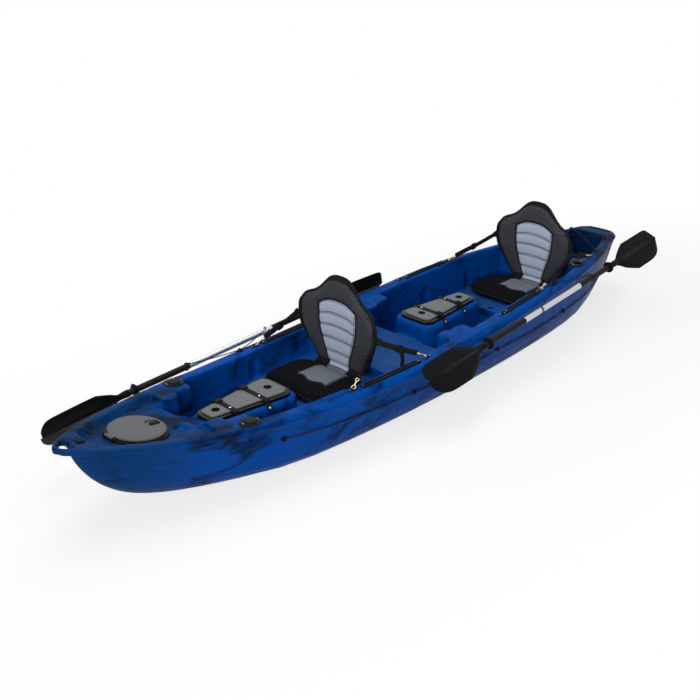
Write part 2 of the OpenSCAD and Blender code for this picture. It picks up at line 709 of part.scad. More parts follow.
// Eyes on the gunwale: seat eyes first, then the stern eyes for the bungee
eye_inset = 52;
stern_eye_inset = 42;
seat_eye_front = 609 * along;
seat_eye_aft = 150 * along;
mid_eye_x = -413 * along;
rear_eye_aft = -1352 * along;
rear_eye_front = -761 * along;
bungee_eye_x = [-1440, -1660] * along;
port_bungee_x = -880 * along;
starboard_bungee_x = 690 * along;
bungee_eye_inset = 36;
deck_eyes = [[seat_eye_front, eye_inset], [seat_eye_aft, eye_inset], [mid_eye_x, eye_inset],
    [rear_eye_front, eye_inset], [rear_eye_aft, stern_eye_inset]];
eye_base = [42, 14, 3];
eye_r = 9;
eye_wire = 2.5;
function eye_at(x, inset, s) = [x, s * (half_beam(x) - inset), sheer(x) + 0.5 + eye_base[2]];
module padeye() {
    translate([-eye_base[0] / 2, -eye_base[1] / 2, 0.5]) cube(eye_base);
    translate([0, 0, 0.5 + eye_base[2]]) rotate([90, 0, 0])
        rotate_extrude(angle = 180, $fn = 32) translate([eye_r, 0]) circle(r = eye_wire, $fn = 16);
}
round_base_d = 26;
// An eye on a round base; its cord runs along X
module round_eye() {
    cylinder(d = round_base_d, h = eye_base[2], $fn = 36);
    translate([0, 0, eye_base[2]]) rotate([90, 0, 90])
        rotate_extrude(angle = 180, $fn = 32) translate([eye_r, 0]) circle(r = eye_wire, $fn = 16);
}
function bungee_cross() = atan2(half_beam(bungee_eye_x[0]) + half_beam(bungee_eye_x[1]) - 2 * stern_eye_inset,
    bungee_eye_x[0] - bungee_eye_x[1]);
module deck_padeyes() color([0.03, 0.03, 0.03]) {
    both_sides() {
        for (e = deck_eyes) on_deck(e[0], e[1]) padeye();
        for (i = [0, 1]) on_deck(bungee_eye_x[i], stern_eye_inset) translate([0, 0, 0.5])
            rotate([0, 0, (i == 0 ? 1 : -1) * bungee_cross() - yaw(bungee_eye_x[i])]) round_eye();
    }
    on_deck(port_bungee_x, bungee_eye_inset) translate([0, 0, 0.5]) round_eye();
    mirror([0, 1, 0]) on_deck(starboard_bungee_x, bungee_eye_inset) translate([0, 0, 0.5]) round_eye();
}

// Eyes on the hull sides for the deck lines
side_eyes = [for (e = [[990, 210], [265, 180], [-350, 183], [-1000, 168], [-1640, 178]])
    [e[0] * along, e[1]]];
module on_side(x, z) {
    translate([x, side_y(x, z), z]) rotate([0, 0, side_yaw(x, z)]) rotate([-90 - flare(x, z), 0, 0])
        translate([0, 0, 0.6]) children();
}
module side_padeyes() color([0.03, 0.03, 0.03]) both_sides()
    for (e = side_eyes) on_side(e[0], e[1]) round_eye();

screw_d = 6;
screw_h = 1;
module screw_head() {
    difference() {
        cylinder(d = screw_d, h = screw_h, $fn = 24);
        translate([0, 0, screw_h + 0.5]) cube([screw_d, 1, 2], center = true);
    }
}
module fitting_screws() color("silver") {
    both_sides() for (e = deck_eyes, d = [-16, 16])
        on_deck(e[0], e[1]) translate([d, 0, 0.5 + eye_base[2]]) screw_head();
    both_sides() for (r = [[front_rail_x, front_rail_l], [rear_rail_x, rear_rail_l]], s = [-1, 1])
        on_deck(r[0], rail_inset) translate([s * (r[1] / 2 - 9), 0, rail_t - rail_seat]) screw_head();
    both_sides() for (r = [[rod_front_x, rod_front_inset], [rod_rear_x, rod_rear_inset]], s = [-1, 1])
        at_rod(r[0], r[1]) translate([s * (flange_l / 2 - 9), 0, seat_gap + flange_t]) screw_head();
}

// Accessory rails with a row of teeth
rail_t = 9;
tooth_pitch = 10;
module rail(length) {
    teeth = floor((length - 44) / tooth_pitch);
    difference() {
        translate([-length / 2, -rail_w / 2, seat_gap]) cube([length, rail_w, rail_t - seat_gap]);
        translate([0, 0, rail_t - 3.5]) linear_extrude(10) polygon(concat(
            [[-teeth * tooth_pitch / 2, -2]],
            [for (i = [0:teeth - 1], q = [0:3]) let(x = (i - teeth / 2) * tooth_pitch)
                [x + (q < 2 ? 0.02 : tooth_pitch / 2), q == 0 || q == 3 ? -2 : 9]],
            [[teeth * tooth_pitch / 2, -2], [teeth * tooth_pitch / 2, -9], [-teeth * tooth_pitch / 2, -9]]));
    }
}
module accessory_rails() color([0.03, 0.03, 0.03]) both_sides() {
    on_deck(front_rail_x, rail_inset) translate([0, 0, -rail_seat]) rail(front_rail_l);
    on_deck(rear_rail_x, rail_inset) translate([0, 0, -rail_seat]) rail(rear_rail_l);
}

// Rod holders: a flange flat on the gunwale and a tube below it that leans outboard
module below_top(top) {
    intersection() {
        children();
        translate([-100, -100, top - 400]) cube([200, 200, 400]);
    }
}
module rod_holder() difference() {
    union() {
        translate([0, 0, seat_gap]) linear_extrude(flange_t) union() {
            square([flange_l - flange_w, flange_w], center = true);
            for (s = [-1, 1]) translate([s * (flange_l - flange_w) / 2, 0]) circle(d = flange_w, $fn = 48);
        }
        below_top(seat_gap + flange_t - 1) rotate([-rod_lean, 0, 0]) translate([0, 0, -rod_tube_length])
            cylinder(d = rod_tube_d, h = rod_tube_length + 20, $fn = 48);
    }
    rotate([-rod_lean, 0, 0]) translate([0, 0, -rod_tube_length + 4])
        cylinder(d = rod_bore_d, h = rod_tube_length + 40, $fn = 48);
}
module front_rod_holder_port() color([0.10, 0.10, 0.10]) at_rod(rod_front_x, rod_front_inset) rod_holder();
module front_rod_holder_starboard() color([0.10, 0.10, 0.10])
    mirror([0, 1, 0]) at_rod(rod_front_x, rod_front_inset) rod_holder();
module rear_rod_holder_port() color([0.10, 0.10, 0.10]) at_rod(rod_rear_x, rod_rear_inset) rod_holder();
module rear_rod_holder_starboard() color([0.10, 0.10, 0.10])
    mirror([0, 1, 0]) at_rod(rod_rear_x, rod_rear_inset) rod_holder();
cap_d = 56;
cap_plug_l = 22;
module rod_cap() {
    base = 2 * seat_gap + flange_t;
    translate([0, 0, base]) rotate_extrude($fn = 48)
        polygon([[0, 0], [cap_d / 2, 0], [cap_d / 2, 3], [cap_d / 2 - 4, 7], [0, 8.5]]);
    below_top(base + 1) rotate([-rod_lean, 0, 0]) translate([0, 0, -cap_plug_l])
        cylinder(d = rod_bore_d - 2 * run_gap, h = cap_plug_l + 30, $fn = 48);
    translate([-cap_d / 2 - 5, -7, base]) cube([10, 14, 2.5]);
}
module rod_cap_port() color([0.13, 0.12, 0.12]) at_rod(rod_front_x, rod_front_inset) rod_cap();
module rod_cap_starboard() color([0.13, 0.12, 0.12])
    mirror([0, 1, 0]) at_rod(rod_front_x, rod_front_inset) rod_cap();

module drain_plug() color([0.03, 0.03, 0.03]) at_plug()
    translate([0, 0, -plug_seat + seat_gap]) difference() {
    union() {
        cylinder(d = plug_d, h = 6, $fn = 40);
        translate([-plug_d / 2 + 3, -3, 6]) cube([plug_d - 6, 6, 5]);
    }
    translate([0, 0, 9]) rotate([90, 0, 0]) cylinder(d = 3, h = 20, center = true, $fn = 16);
}

// Round cord swept along points with parallel rings
function tangents(p) = [for (i = [0:len(p) - 1]) unit(p[min(i + 1, len(p) - 1)] - p[max(i - 1, 0)])];
function normals(t, first) = [for (i = 0, n = unit(first - t[0] * (first * t[0])); i < len(t);
    i = i + 1, n = i < len(t) ? unit(n - t[i] * (n * t[i])) : n) n];
module cord(p, d, sides = 8, first = [0, 0, 1]) {
    t = tangents(p);
    n = normals(t, first);
    loft([for (i = [0:len(p) - 1]) let(b = cross(t[i], n[i]))
        [for (k = [0:sides - 1]) p[i] + d / 2 * (n[i] * cos(360 * k / sides) + b * sin(360 * k / sides))]]);
}

// Deck line along a hull side: it runs through the side eyes and sags a little between them
line_steps = 7;
line_lift = 7.2;
line_lay = 4.4;
line_sag = 9;
function on_side_point(x, z, lift) = let(f = flare(x, z), a = side_yaw(x, z))
    [x - lift * cos(f) * sin(a), side_y(x, z) + lift * cos(f) * cos(a), z - lift * sin(f)];
line_route = concat([for (e = [0:len(side_eyes) - 2], i = [0:line_steps - 1])
    let(q = i / line_steps, h = 1 - 4 * q * (1 - q), hug = pow(abs(2 * q - 1), 8),
        x = mix(side_eyes[e][0], side_eyes[e + 1][0], q),
        z = mix(side_eyes[e][1], side_eyes[e + 1][1], q) - line_sag * (1 - h))
    on_side_point(x, z, mix(line_lay, line_lift, hug))],
    [let(e = side_eyes[len(side_eyes) - 1]) on_side_point(e[0], e[1], line_lift),
     let(e = side_eyes[len(side_eyes) - 1]) on_side_point(e[0] - 22, e[1] - 3, line_lift)]);
module deck_line_port() color([0.05, 0.05, 0.05]) cord(line_route, line_d);
module deck_line_starboard() color([0.05, 0.05, 0.05]) mirror([0, 1, 0]) cord(line_route, line_d);

// Bungee crossed over the stern well
cross_steps = 8;
function bungee_end(i, s) = eye_at(bungee_eye_x[i], stern_eye_inset, s) + [0, 0, 3.8];
module bungee_leg(s, lift) {
    a = bungee_end(0, s);
    b = bungee_end(1, -s);
    cord([for (i = [0:cross_steps]) let(q = i / cross_steps)
        a + (b - a) * q + [0, 0, lift * (1 - pow(2 * q - 1, 2))]], bungee_d);
}
module stern_bungee() color([0.03, 0.03, 0.03]) {
    bungee_leg(1, 10);
    bungee_leg(-1, 3);
}

// Seat webbing: from the seat back's edge to the snap hooks on the gunwale eyes
hook_ring_r = 9;
hook_wire = 2.2;
hook_length = 58;
hook_pass = 3.6;
strap_high_v = 0.55;
strap_low_v = 0.57;
function strap_root(v, s, dx) = [fold_at + back_wrap(1, v) + dx, s * (back_half(v) + 1.6),
    fold_z + back_z(1, v)];
function hook_foot(x, s) = eye_at(x, eye_inset, s) + [0, 0, hook_pass];
function rear_hook_foot(x, inset, s) = eye_at(x, inset, s) + [seat_step, 0, hook_pass - rear_lift];
// Feet of a seat's four hooks, in the front seat's frame
function seat_feet(rear, s) = rear
    ? [rear_hook_foot(rear_eye_front, eye_inset, s), rear_hook_foot(rear_eye_aft, stern_eye_inset, s)]
    : [hook_foot(seat_eye_front, s), hook_foot(seat_eye_aft, s)];
function seat_roots(s) = [strap_root(strap_low_v, s, 6), strap_root(strap_high_v, s, -8)];
module snap_hook() {
    translate([0, 0, hook_ring_r]) rotate([0, 90, 0])
        rotate_extrude($fn = 32) translate([hook_ring_r, 0]) circle(r = hook_wire, $fn = 16);
    translate([0, 0, 2 * hook_ring_r + 1]) cylinder(d = 7, h = hook_length - 4 * hook_ring_r + 1, $fn = 20);
    translate([0, 0, hook_length - hook_ring_r]) rotate([0, 90, 0])
        rotate_extrude($fn = 32) translate([hook_ring_r - 1.5, 0]) circle(r = hook_wire, $fn = 16);
}
module snap_hooks(rear) for (s = [-1, 1], k = [0, 1]) let(f = seat_feet(rear, s)[k])
    aim(f, seat_roots(s)[k] - f) snap_hook();
module webbing(a, b, w, t) {
    d = b - a;
    len_d = norm(d);
    aim(a, d) translate([-w / 2, -t / 2, 0]) cube([w, t, len_d]);
}
// Each strap has a ladder buckle partway along, and the front seat's aft straps have hanging tails
buckle_at = 0.45;
buckle_size = [8, 8, 26];
tail_l = 90;
module seat_straps(rear) for (s = [-1, 1], k = [0, 1])
    let(f = seat_feet(rear, s)[k], r = seat_roots(s)[k], d = unit(r - f), a = f + d * (hook_length + 1)) {
        webbing(a, r, webbing_w, 2);
        aim(mix(a, r, buckle_at), d) translate([-webbing_w / 2 - buckle_size[0] / 2, -buckle_size[1] / 2, 0])
            cube([webbing_w + buckle_size[0], buckle_size[1], buckle_size[2]]);
        if (!rear && k == 1) translate(mix(a, r, buckle_at) - [webbing_w / 2, 1, tail_l])
            cube([webbing_w, 2, tail_l]);
    }
module front_snap_hooks() color("goldenrod") snap_hooks(false);
module front_seat_straps() color([0.04, 0.04, 0.04]) seat_straps(false);
module rear_snap_hooks() color("goldenrod") at_rear_seat() snap_hooks(true);
module rear_seat_straps() color([0.04, 0.04, 0.04]) at_rear_seat() seat_straps(true);

// Paddles, in their own frame: the shaft along X, the blade in the XZ plane
port_paddle = [-743 * along, 394, 319, 3.26, 2.97];
starboard_paddle = [667 * along, -412.5, 285.4, 1.75, 1.91];
port_lean = 45;
starboard_lean = 18;
shaft_wall = 2;
shaft_end = paddle_length / 2 - blade_length + 34;
ferrule_l = 90;
ferrule_gap = 0.2;
button_d = 8;
button_x = 46;
button_rise = 2;
ring_x = shaft_end - 34;
module at_paddle(p) { translate([p[0], p[1], p[2]]) rotate([0, p[3], p[4]]) children(); }
module shaft_tube(x0, x1) {
    translate([x0, 0, 0]) rotate([0, 90, 0]) difference() {
        cylinder(d = shaft_d, h = x1 - x0, $fn = 48);
        translate([0, 0, -1]) cylinder(d = shaft_d - 2 * shaft_wall, h = x1 - x0 + 2, $fn = 48);
    }
}
module shaft_fore() difference() {
    shaft_tube(0.2, shaft_end);
    translate([button_x, 0, 0]) cylinder(d = button_d + 0.4, h = shaft_d, $fn = 24);
}
module shaft_aft() {
    ferrule_d = shaft_d - 2 * shaft_wall - 2 * ferrule_gap;
    shaft_tube(-shaft_end, 0);
    difference() {
        translate([-20, 0, 0]) rotate([0, 90, 0]) cylinder(d = ferrule_d, h = ferrule_l + 20, $fn = 48);
        translate([-21, 0, 0]) rotate([0, 90, 0]) cylinder(d = ferrule_d - 10, h = ferrule_l + 22, $fn = 48);
        translate([button_x - button_d, 0, 0]) rotate([0, 90, 0]) difference() {
            cylinder(d = ferrule_d + 2, h = 2 * button_d, $fn = 48);
            translate([0, 0, -1]) cylinder(d = ferrule_d - 7, h = 2 * button_d + 2, $fn = 48);
        }
    }
}
module shaft_button() {
    translate([button_x, 0, shaft_d / 2 - shaft_wall - 0.05])
        cylinder(d = button_d, h = shaft_wall + button_rise, $fn = 24);
}
module drip_ring(s) {
    translate([s * ring_x, 0, 0]) rotate([0, 90, 0]) rotate_extrude($fn = 48)
        polygon([[shaft_d / 2 + 0.15, -12], [shaft_d / 2 + 4, -12], [shaft_d / 2 + 4, -3],
            [drip_ring_d / 2, -1.5], [drip_ring_d / 2, 1.5], [shaft_d / 2 + 4, 3],
            [shaft_d / 2 + 4, 12], [shaft_d / 2 + 0.15, 12]]);
}

// Blade section: a round throat that flattens to a cupped blade with a rib down its middle
blade_l = paddle_length / 2 - shaft_end;
throat_r = shaft_d / 2 + 2;
blade_cols = [1, 0.72, 0.42, 0.13, 0, -0.13, -0.42, -0.72, -1];
// The long edge runs straight to the tip, and the fuller edge rounds off before it
long_share = 0.43;
function blade_tip(q, power) = sqrt(max(0.02, 1 - pow(clamp01((q - 0.55) / 0.45), power)));
function blade_half(q, c) = blade_width * (c > 0
    ? long_share * pow(clamp01((q - 0.08) / 0.32), 0.75) * blade_tip(q, 14)
    : (1 - long_share) * pow(clamp01((q - 0.05) / 0.38), 0.7) * blade_tip(q, 4));
function blade_point(q, c, side) = let(
        w = max(throat_r, blade_half(q, c)),
        flat = ease((q - 0.02) / 0.20),
        rib = 7.5 * (1 - 0.8 * clamp01(q)) * (abs(c) < 0.2 ? (c == 0 ? 1 : 0.45) : 0),
        cup = -16 * q * q - 8 * flat * (1 - c * c))
    [blade_l * q,
     mix(side * throat_r * sqrt(max(0.02, 1 - c * c)), side * (2.2 - 0.9 * abs(c) + rib) + cup, flat),
     mix(throat_r * c, w * c, flat)];
blade_stops = [0, 0.04, 0.08, 0.13, 0.18, 0.24, 0.32, 0.42, 0.54, 0.67, 0.78, 0.86, 0.92, 0.96, 0.985, 1];
module blade() loft([for (q = blade_stops) concat(
    [for (c = blade_cols) blade_point(q, c, -1)],
    [for (i = [len(blade_cols) - 1:-1:0]) blade_point(q, blade_cols[i], 1)])]);
module blade_fore() translate([shaft_end + 0.1, 0, 0]) blade();
module blade_aft() mirror([1, 0, 0]) blade_fore();

module port_shaft_fore() color("silver") at_paddle(port_paddle) shaft_fore();
module port_shaft_aft() color("silver") at_paddle(port_paddle) shaft_aft();
module port_blade_fore() color([0.05, 0.05, 0.05]) at_paddle(port_paddle)
    rotate([port_lean, 0, 0]) mirror([0, 1, 0]) blade_fore();
module port_blade_aft() color([0.05, 0.05, 0.05]) at_paddle(port_paddle)
    rotate([port_lean, 0, 0]) mirror([0, 1, 0]) blade_aft();
module port_ring_fore() color([0.03, 0.03, 0.03]) at_paddle(port_paddle) drip_ring(1);
module port_ring_aft() color([0.03, 0.03, 0.03]) at_paddle(port_paddle) drip_ring(-1);
module port_button() color("silver") at_paddle(port_paddle) shaft_button();
module starboard_shaft_fore() color("silver") at_paddle(starboard_paddle) shaft_fore();
module starboard_shaft_aft() color("silver") at_paddle(starboard_paddle) shaft_aft();
module starboard_blade_fore() color([0.05, 0.05, 0.05]) at_paddle(starboard_paddle)
    rotate([180 - starboard_lean, 0, 0]) mirror([0, 0, 1]) blade_fore();
module starboard_blade_aft() color([0.05, 0.05, 0.05]) at_paddle(starboard_paddle)
    rotate([180 - starboard_lean, 0, 0]) mirror([0, 0, 1]) blade_aft();
module starboard_ring_fore() color([0.03, 0.03, 0.03]) at_paddle(starboard_paddle) drip_ring(1);
module starboard_ring_aft() color([0.03, 0.03, 0.03]) at_paddle(starboard_paddle) drip_ring(-1);
module starboard_button() color("silver") at_paddle(starboard_paddle) shaft_button();

// Paddle bungee: a V of cord from a gunwale eye, looped once round the shaft at each end
function paddle_axis(p, x) = [x, p[1] + (x - p[0]) * tan(p[4]), p[2] - (x - p[0]) * tan(p[3])];
loop_r = shaft_d / 2 + bungee_d / 2 + 0.9;
loop_steps = 16;
loop_pitch = 9;
loop_turn = 330;
loop_exit = 120;
// One leg on the port side, from the loop to the eye; sx is the side of the eye it lies on
function bungee_leg_points(eye_x, reach, sx, p) = let(
        c = paddle_axis(p, eye_x + sx * reach), over = eye_x + sx * reach * 0.45,
        near_eye = eye_x + sx * reach * 0.24, e = eye_at(eye_x, bungee_eye_inset, 1))
    concat(
        [for (i = [0:loop_steps]) let(a = loop_exit - loop_turn * (1 - i / loop_steps))
            c + [-sx * loop_pitch * i / loop_steps, loop_r * cos(a), loop_r * sin(a)]],
        [[over, half_beam(over) + 6, sheer(over) - 7],
         [near_eye, half_beam(near_eye) - 24, sheer(near_eye) + 5.5],
         e + [sx * 16, 0, 3.8]]);
function backward(p) = [for (i = [len(p) - 1:-1:0]) p[i]];
module paddle_bungee(eye_x, p) {
    cord(concat(bungee_leg_points(eye_x, 250, -1, p), backward(bungee_leg_points(eye_x, 250, 1, p))),
        bungee_d, 8, [1, 0, 0]);
}
module paddle_bungee_port() color([0.03, 0.03, 0.03]) paddle_bungee(port_bungee_x, port_paddle);
module paddle_bungee_starboard() color([0.03, 0.03, 0.03]) mirror([0, 1, 0])
    paddle_bungee(starboard_bungee_x, [starboard_paddle[0], -starboard_paddle[1], starboard_paddle[2],
        starboard_paddle[3], -starboard_paddle[4]]);

hull_shell();
bow_hatch_ring();
bow_hatch_lid();
bow_hatch_latch();
bow_hatch_pin();
front_lid_tray();
front_lid_plate();
front_lid_straps();
front_strap_anchors();
rear_lid_tray();
rear_lid_plate();
rear_lid_straps();
rear_strap_anchors();
front_seat_pad();
front_seat_back();
front_seat_straps();
front_snap_hooks();
rear_seat_pad();
rear_seat_back();
rear_seat_straps();
rear_snap_hooks();
deck_padeyes();
side_padeyes();
fitting_screws();
accessory_rails();
front_rod_holder_port();
front_rod_holder_starboard();
rear_rod_holder_port();
rear_rod_holder_starboard();
rod_cap_port();
rod_cap_starboard();
drain_plug();
deck_line_port();
deck_line_starboard();
stern_bungee();
paddle_bungee_port();
paddle_bungee_starboard();
port_shaft_fore();
port_shaft_aft();
port_blade_fore();
port_blade_aft();
port_ring_fore();
port_ring_aft();
port_button();
starboard_shaft_fore();
starboard_shaft_aft();
starboard_blade_fore();
starboard_blade_aft();
starboard_ring_fore();
starboard_ring_aft();
starboard_button();
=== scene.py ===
import json
import math
import bmesh
import bpy
import numpy as np
from mathutils import Matrix, Vector
from mathutils.bvhtree import BVHTree


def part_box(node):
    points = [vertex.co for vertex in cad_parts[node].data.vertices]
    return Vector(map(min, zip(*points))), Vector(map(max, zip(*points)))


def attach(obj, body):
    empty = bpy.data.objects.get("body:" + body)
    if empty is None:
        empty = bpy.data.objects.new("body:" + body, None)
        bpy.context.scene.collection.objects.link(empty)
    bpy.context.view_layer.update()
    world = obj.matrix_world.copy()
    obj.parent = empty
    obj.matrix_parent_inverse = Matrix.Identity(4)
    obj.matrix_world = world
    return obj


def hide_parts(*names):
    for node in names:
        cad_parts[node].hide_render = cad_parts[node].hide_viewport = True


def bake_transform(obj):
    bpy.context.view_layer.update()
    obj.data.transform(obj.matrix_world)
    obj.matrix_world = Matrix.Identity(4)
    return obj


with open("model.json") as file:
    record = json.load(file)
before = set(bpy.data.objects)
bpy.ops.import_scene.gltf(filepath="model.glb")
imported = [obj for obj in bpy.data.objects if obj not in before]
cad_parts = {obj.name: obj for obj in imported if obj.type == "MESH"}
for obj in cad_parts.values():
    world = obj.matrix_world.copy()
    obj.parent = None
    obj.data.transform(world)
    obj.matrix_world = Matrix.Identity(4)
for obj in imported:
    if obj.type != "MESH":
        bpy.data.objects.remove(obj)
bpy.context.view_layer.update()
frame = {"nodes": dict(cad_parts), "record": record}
nodes = frame["nodes"]
bodyOf = {}
for bodyName, members in frame["record"]["behaviour"]["bodies"].items():
    for member in members:
        bodyOf[member] = bodyName
scene = bpy.context.scene
scene.view_settings.view_transform = "Standard"
print("frame loaded,", len(nodes), "solids")


# shader maths as plain expressions on sockets
class Sock:
    def __init__(self, finish, out):
        self.finish = finish
        self.out = out

    def maths(self, kind, *values):
        return self.finish.add("ShaderNodeMath", {"operation": kind}, dict(enumerate(values)))

    def __add__(self, other):
        return self.maths("ADD", self, other)

    def __radd__(self, other):
        return self.maths("ADD", other, self)

    def __sub__(self, other):
        return self.maths("SUBTRACT", self, other)

    def __rsub__(self, other):
        return self.maths("SUBTRACT", other, self)

    def __mul__(self, other):
        return self.maths("MULTIPLY", self, other)

    def __rmul__(self, other):
        return self.maths("MULTIPLY", other, self)

    def __pow__(self, other):
        return self.maths("POWER", self, other)

    def __abs__(self):
        return self.maths("ABSOLUTE", self)

    def sine(self):
        return self.maths("SINE", self)

    def most(self, other):
        return self.maths("MAXIMUM", self, other)

    def least(self, other):
        return self.maths("MINIMUM", self, other)

    def also(self, name):
        return Sock(self.finish, self.out.node.outputs[name])


class Finish:
    def __init__(self, name, holder=None):
        self.holder = holder or bpy.data.materials.new(name)
        self.holder.use_nodes = True
        self.tree = self.holder.node_tree
        self.tree.nodes.clear()

    def add(self, kind, settings, sockets, out=0):
        node = self.tree.nodes.new(kind)
        for key, value in settings.items():
            setattr(node, key, value)
        for key, value in sockets.items():
            if isinstance(value, Sock):
                self.tree.links.new(value.out, node.inputs[key])
            else:
                node.inputs[key].default_value = value
        return Sock(self, node.outputs[out]) if node.outputs else None

    def share(self, name):
        return self.add("ShaderNodeAttribute", {"attribute_name": name}, {}, "Fac")

    def place(self):
        return self.add("ShaderNodeTexCoord", {}, {}, "Object")

    def axes(self, vector):
        split = self.add("ShaderNodeSeparateXYZ", {}, {0: vector})
        return split, split.also("Y"), split.also("Z")

    def stretch(self, vector, amounts):
        return self.add("ShaderNodeVectorMath", {"operation": "MULTIPLY"}, {0: vector, 1: amounts})

    def shift(self, vector, other):
        return self.add("ShaderNodeVectorMath", {"operation": "ADD"}, {0: vector, 1: other})

    def grain(self, vector, scale, detail=3.0, rough=0.5, distortion=0.0):
        return self.add("ShaderNodeTexNoise", {}, {"Vector": vector, "Scale": scale, "Detail": detail,
                        "Roughness": rough, "Distortion": distortion})

    def ease(self, value, low, high):
        return self.add("ShaderNodeMapRange", {"interpolation_type": "SMOOTHSTEP"},
                        {"Value": value, "From Min": low, "From Max": high})

    def tint(self, share, first, second):
        first, second = [c if isinstance(c, Sock) else (*c, 1.0) for c in (first, second)]
        return self.add("ShaderNodeMix", {"data_type": "RGBA"}, {0: share, 6: first, 7: second}, 2)

    def close(self, colour, rough, shine=0.5, relief=None, metal=0.0):
        # relief is a bump's height, strength and distance
        sockets = {"Base Color": colour, "Roughness": rough, "Specular IOR Level": shine, "Metallic": metal}
        if relief:
            bump = dict(zip(("Height", "Strength", "Distance"), relief))
            sockets["Normal"] = self.add("ShaderNodeBump", {}, bump)
        shader = self.add("ShaderNodeBsdfPrincipled", {}, sockets)
        self.add("ShaderNodeOutputMaterial", {}, {"Surface": shader})
        return self.holder

    def seen(self):
        path = self.add("ShaderNodeLightPath", {}, {}, "Is Camera Ray")
        return path.most(path.also("Is Glossy Ray")).most(path.also("Is Transmission Ray"))


# mesh helpers
def addObject(name, mesh):
    obj = bpy.data.objects.new(name, mesh)
    scene.collection.objects.link(obj)
    return obj


def fromBmesh(name, bm):
    mesh = bpy.data.meshes.new(name)
    bm.to_mesh(mesh)
    bm.free()
    return addObject(name, mesh)


def settle(obj):
    bpy.context.view_layer.update()
    graph = bpy.context.evaluated_depsgraph_get()
    mesh = bpy.data.meshes.new_from_object(obj.evaluated_get(graph))
    obj.modifiers.clear()
    old = obj.data
    obj.data = mesh
    bpy.data.meshes.remove(old)


def points(mesh, kind="co"):
    values = np.zeros(len(mesh.vertices) * 3)
    mesh.vertices.foreach_get(kind, values)
    return values.reshape(-1, 3)


def setPoints(mesh, co):
    mesh.vertices.foreach_set("co", np.ascontiguousarray(co, dtype=np.float32).ravel())
    mesh.update()


def smoothShade(mesh, angle=None):
    mesh.shade_smooth()
    if angle is not None:
        mesh.set_sharp_from_angle(angle=math.radians(angle))


def paint(obj, finish):
    obj.data.materials.clear()
    obj.data.materials.append(finishes[finish] if isinstance(finish, str) else finish)


def dress(obj, body, finish, replaced=()):
    paint(obj, finish)
    if isinstance(body, str):
        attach(obj, body)
    else:
        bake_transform(obj)          # a body given as two bodies and the points of a bend is not used; the mesh is only baked in place
    if replaced:
        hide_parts(*replaced)


def newPiece(name, bm, angle, body, finish, replaced=()):
    obj = fromBmesh(name, bm)
    smoothShade(obj.data, angle)
    dress(obj, body, finish, replaced)
    return obj


def modify(obj, kind, **settings):
    modifier = obj.modifiers.new(kind.lower(), kind)
    for key, value in settings.items():
        setattr(modifier, key, value)
    return modifier


def nodeMesh(node, inset=0.0):
    # a solid's mesh, drawn in along its length and width if asked
    bm = bmesh.new()
    bm.from_mesh(nodes[node].data)
    if inset:
        low, high = [Vector(c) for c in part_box(node)]
        for v in bm.verts:
            for k in (0, 1):
                middle = (low[k] + high[k]) / 2
                v.co[k] = middle + (v.co[k] - middle) * (1 - 2 * inset / (high[k] - low[k]))
    bmesh.ops.remove_doubles(bm, verts=bm.verts, dist=2e-5)
    return bm


def mergeFlats(bm):
    bmesh.ops.dissolve_limit(bm, angle_limit=math.radians(1.5), verts=bm.verts, edges=bm.edges)


def softEdges(node, name, finish, width, inset=0.0):
    bm = nodeMesh(node, inset)
    mergeFlats(bm)
    obj = fromBmesh(name, bm)
    modify(obj, "BEVEL", width=width, segments=3, limit_method="ANGLE", angle_limit=math.radians(35),
           use_clamp_overlap=True)
    settle(obj)
    smoothShade(obj.data, 40)
    dress(obj, bodyOf[node], finish, [node])


def roundCopy(node, name, body):
    bm = nodeMesh(node)
    bmesh.ops.join_triangles(bm, faces=bm.faces, angle_face_threshold=0.7, angle_shape_threshold=1.2)
    obj = fromBmesh(name, bm)
    modify(obj, "SUBSURF", levels=2, render_levels=2)
    settle(obj)
    smoothShade(obj.data)
    dress(obj, body, "bungee", [node])


def block(bm, matrix, size, bevel=0.0):
    made = bmesh.ops.create_cube(bm, size=1.0, matrix=matrix @ Matrix.Diagonal((*size, 1.0)))
    if bevel:
        edges = list({e for v in made["verts"] for e in v.link_edges})
        bmesh.ops.bevel(bm, geom=edges, offset=bevel, segments=2, profile=0.5, affect="EDGES")


def blocks(bm, base, table):
    # a small moulding from rows of shift, size and bevel
    for shift, size, bevel in table:
        block(bm, base @ Matrix.Translation(shift), size, bevel)


def framed(place, along, side):
    turn = Matrix((along, side, along.cross(side).normalized())).transposed().to_4x4()
    turn.translation = place
    return turn


def heading(path, i, closed=False):
    # direction of a path at one of its points
    count = len(path)
    ahead = (i + 1) % count if closed else min(i + 1, count - 1)
    behind = i - 1 if closed else max(i - 1, 0)
    return Vector(path[ahead] - path[behind]).normalized()


def circle(bm, centre, side, other, radius, sides):
    turns = [2 * math.pi * k / sides for k in range(sides)]
    return [bm.verts.new(centre + radius * (side * math.cos(a) + other * math.sin(a))) for a in turns]


def joinRings(bm, rings, closed=False):
    sides = len(rings[0])
    pairs = list(zip(rings, rings[1:]))
    if closed:
        last, first = rings[-1], rings[0]
        turn = min(range(sides), key=lambda k: (last[0].co - first[k].co).length)
        pairs.append((last, first[turn:] + first[:turn]))
    for a, b in pairs:
        for k in range(sides):
            bm.faces.new((a[k], a[(k + 1) % sides], b[(k + 1) % sides], b[k]))
    if not closed:
        bm.faces.new(rings[0][::-1])
        bm.faces.new(rings[-1])


def ringTube(bm, path, radius, sides=10, closed=False):
    path = [Vector(p) for p in path]
    rings = []
    normal = heading(path, 0, closed).orthogonal().normalized()
    for i, p in enumerate(path):
        along = heading(path, i, closed)
        normal = (normal - along * normal.dot(along)).normalized()
        rings.append(circle(bm, p, normal, along.cross(normal), radius, sides))
    joinRings(bm, rings, closed)


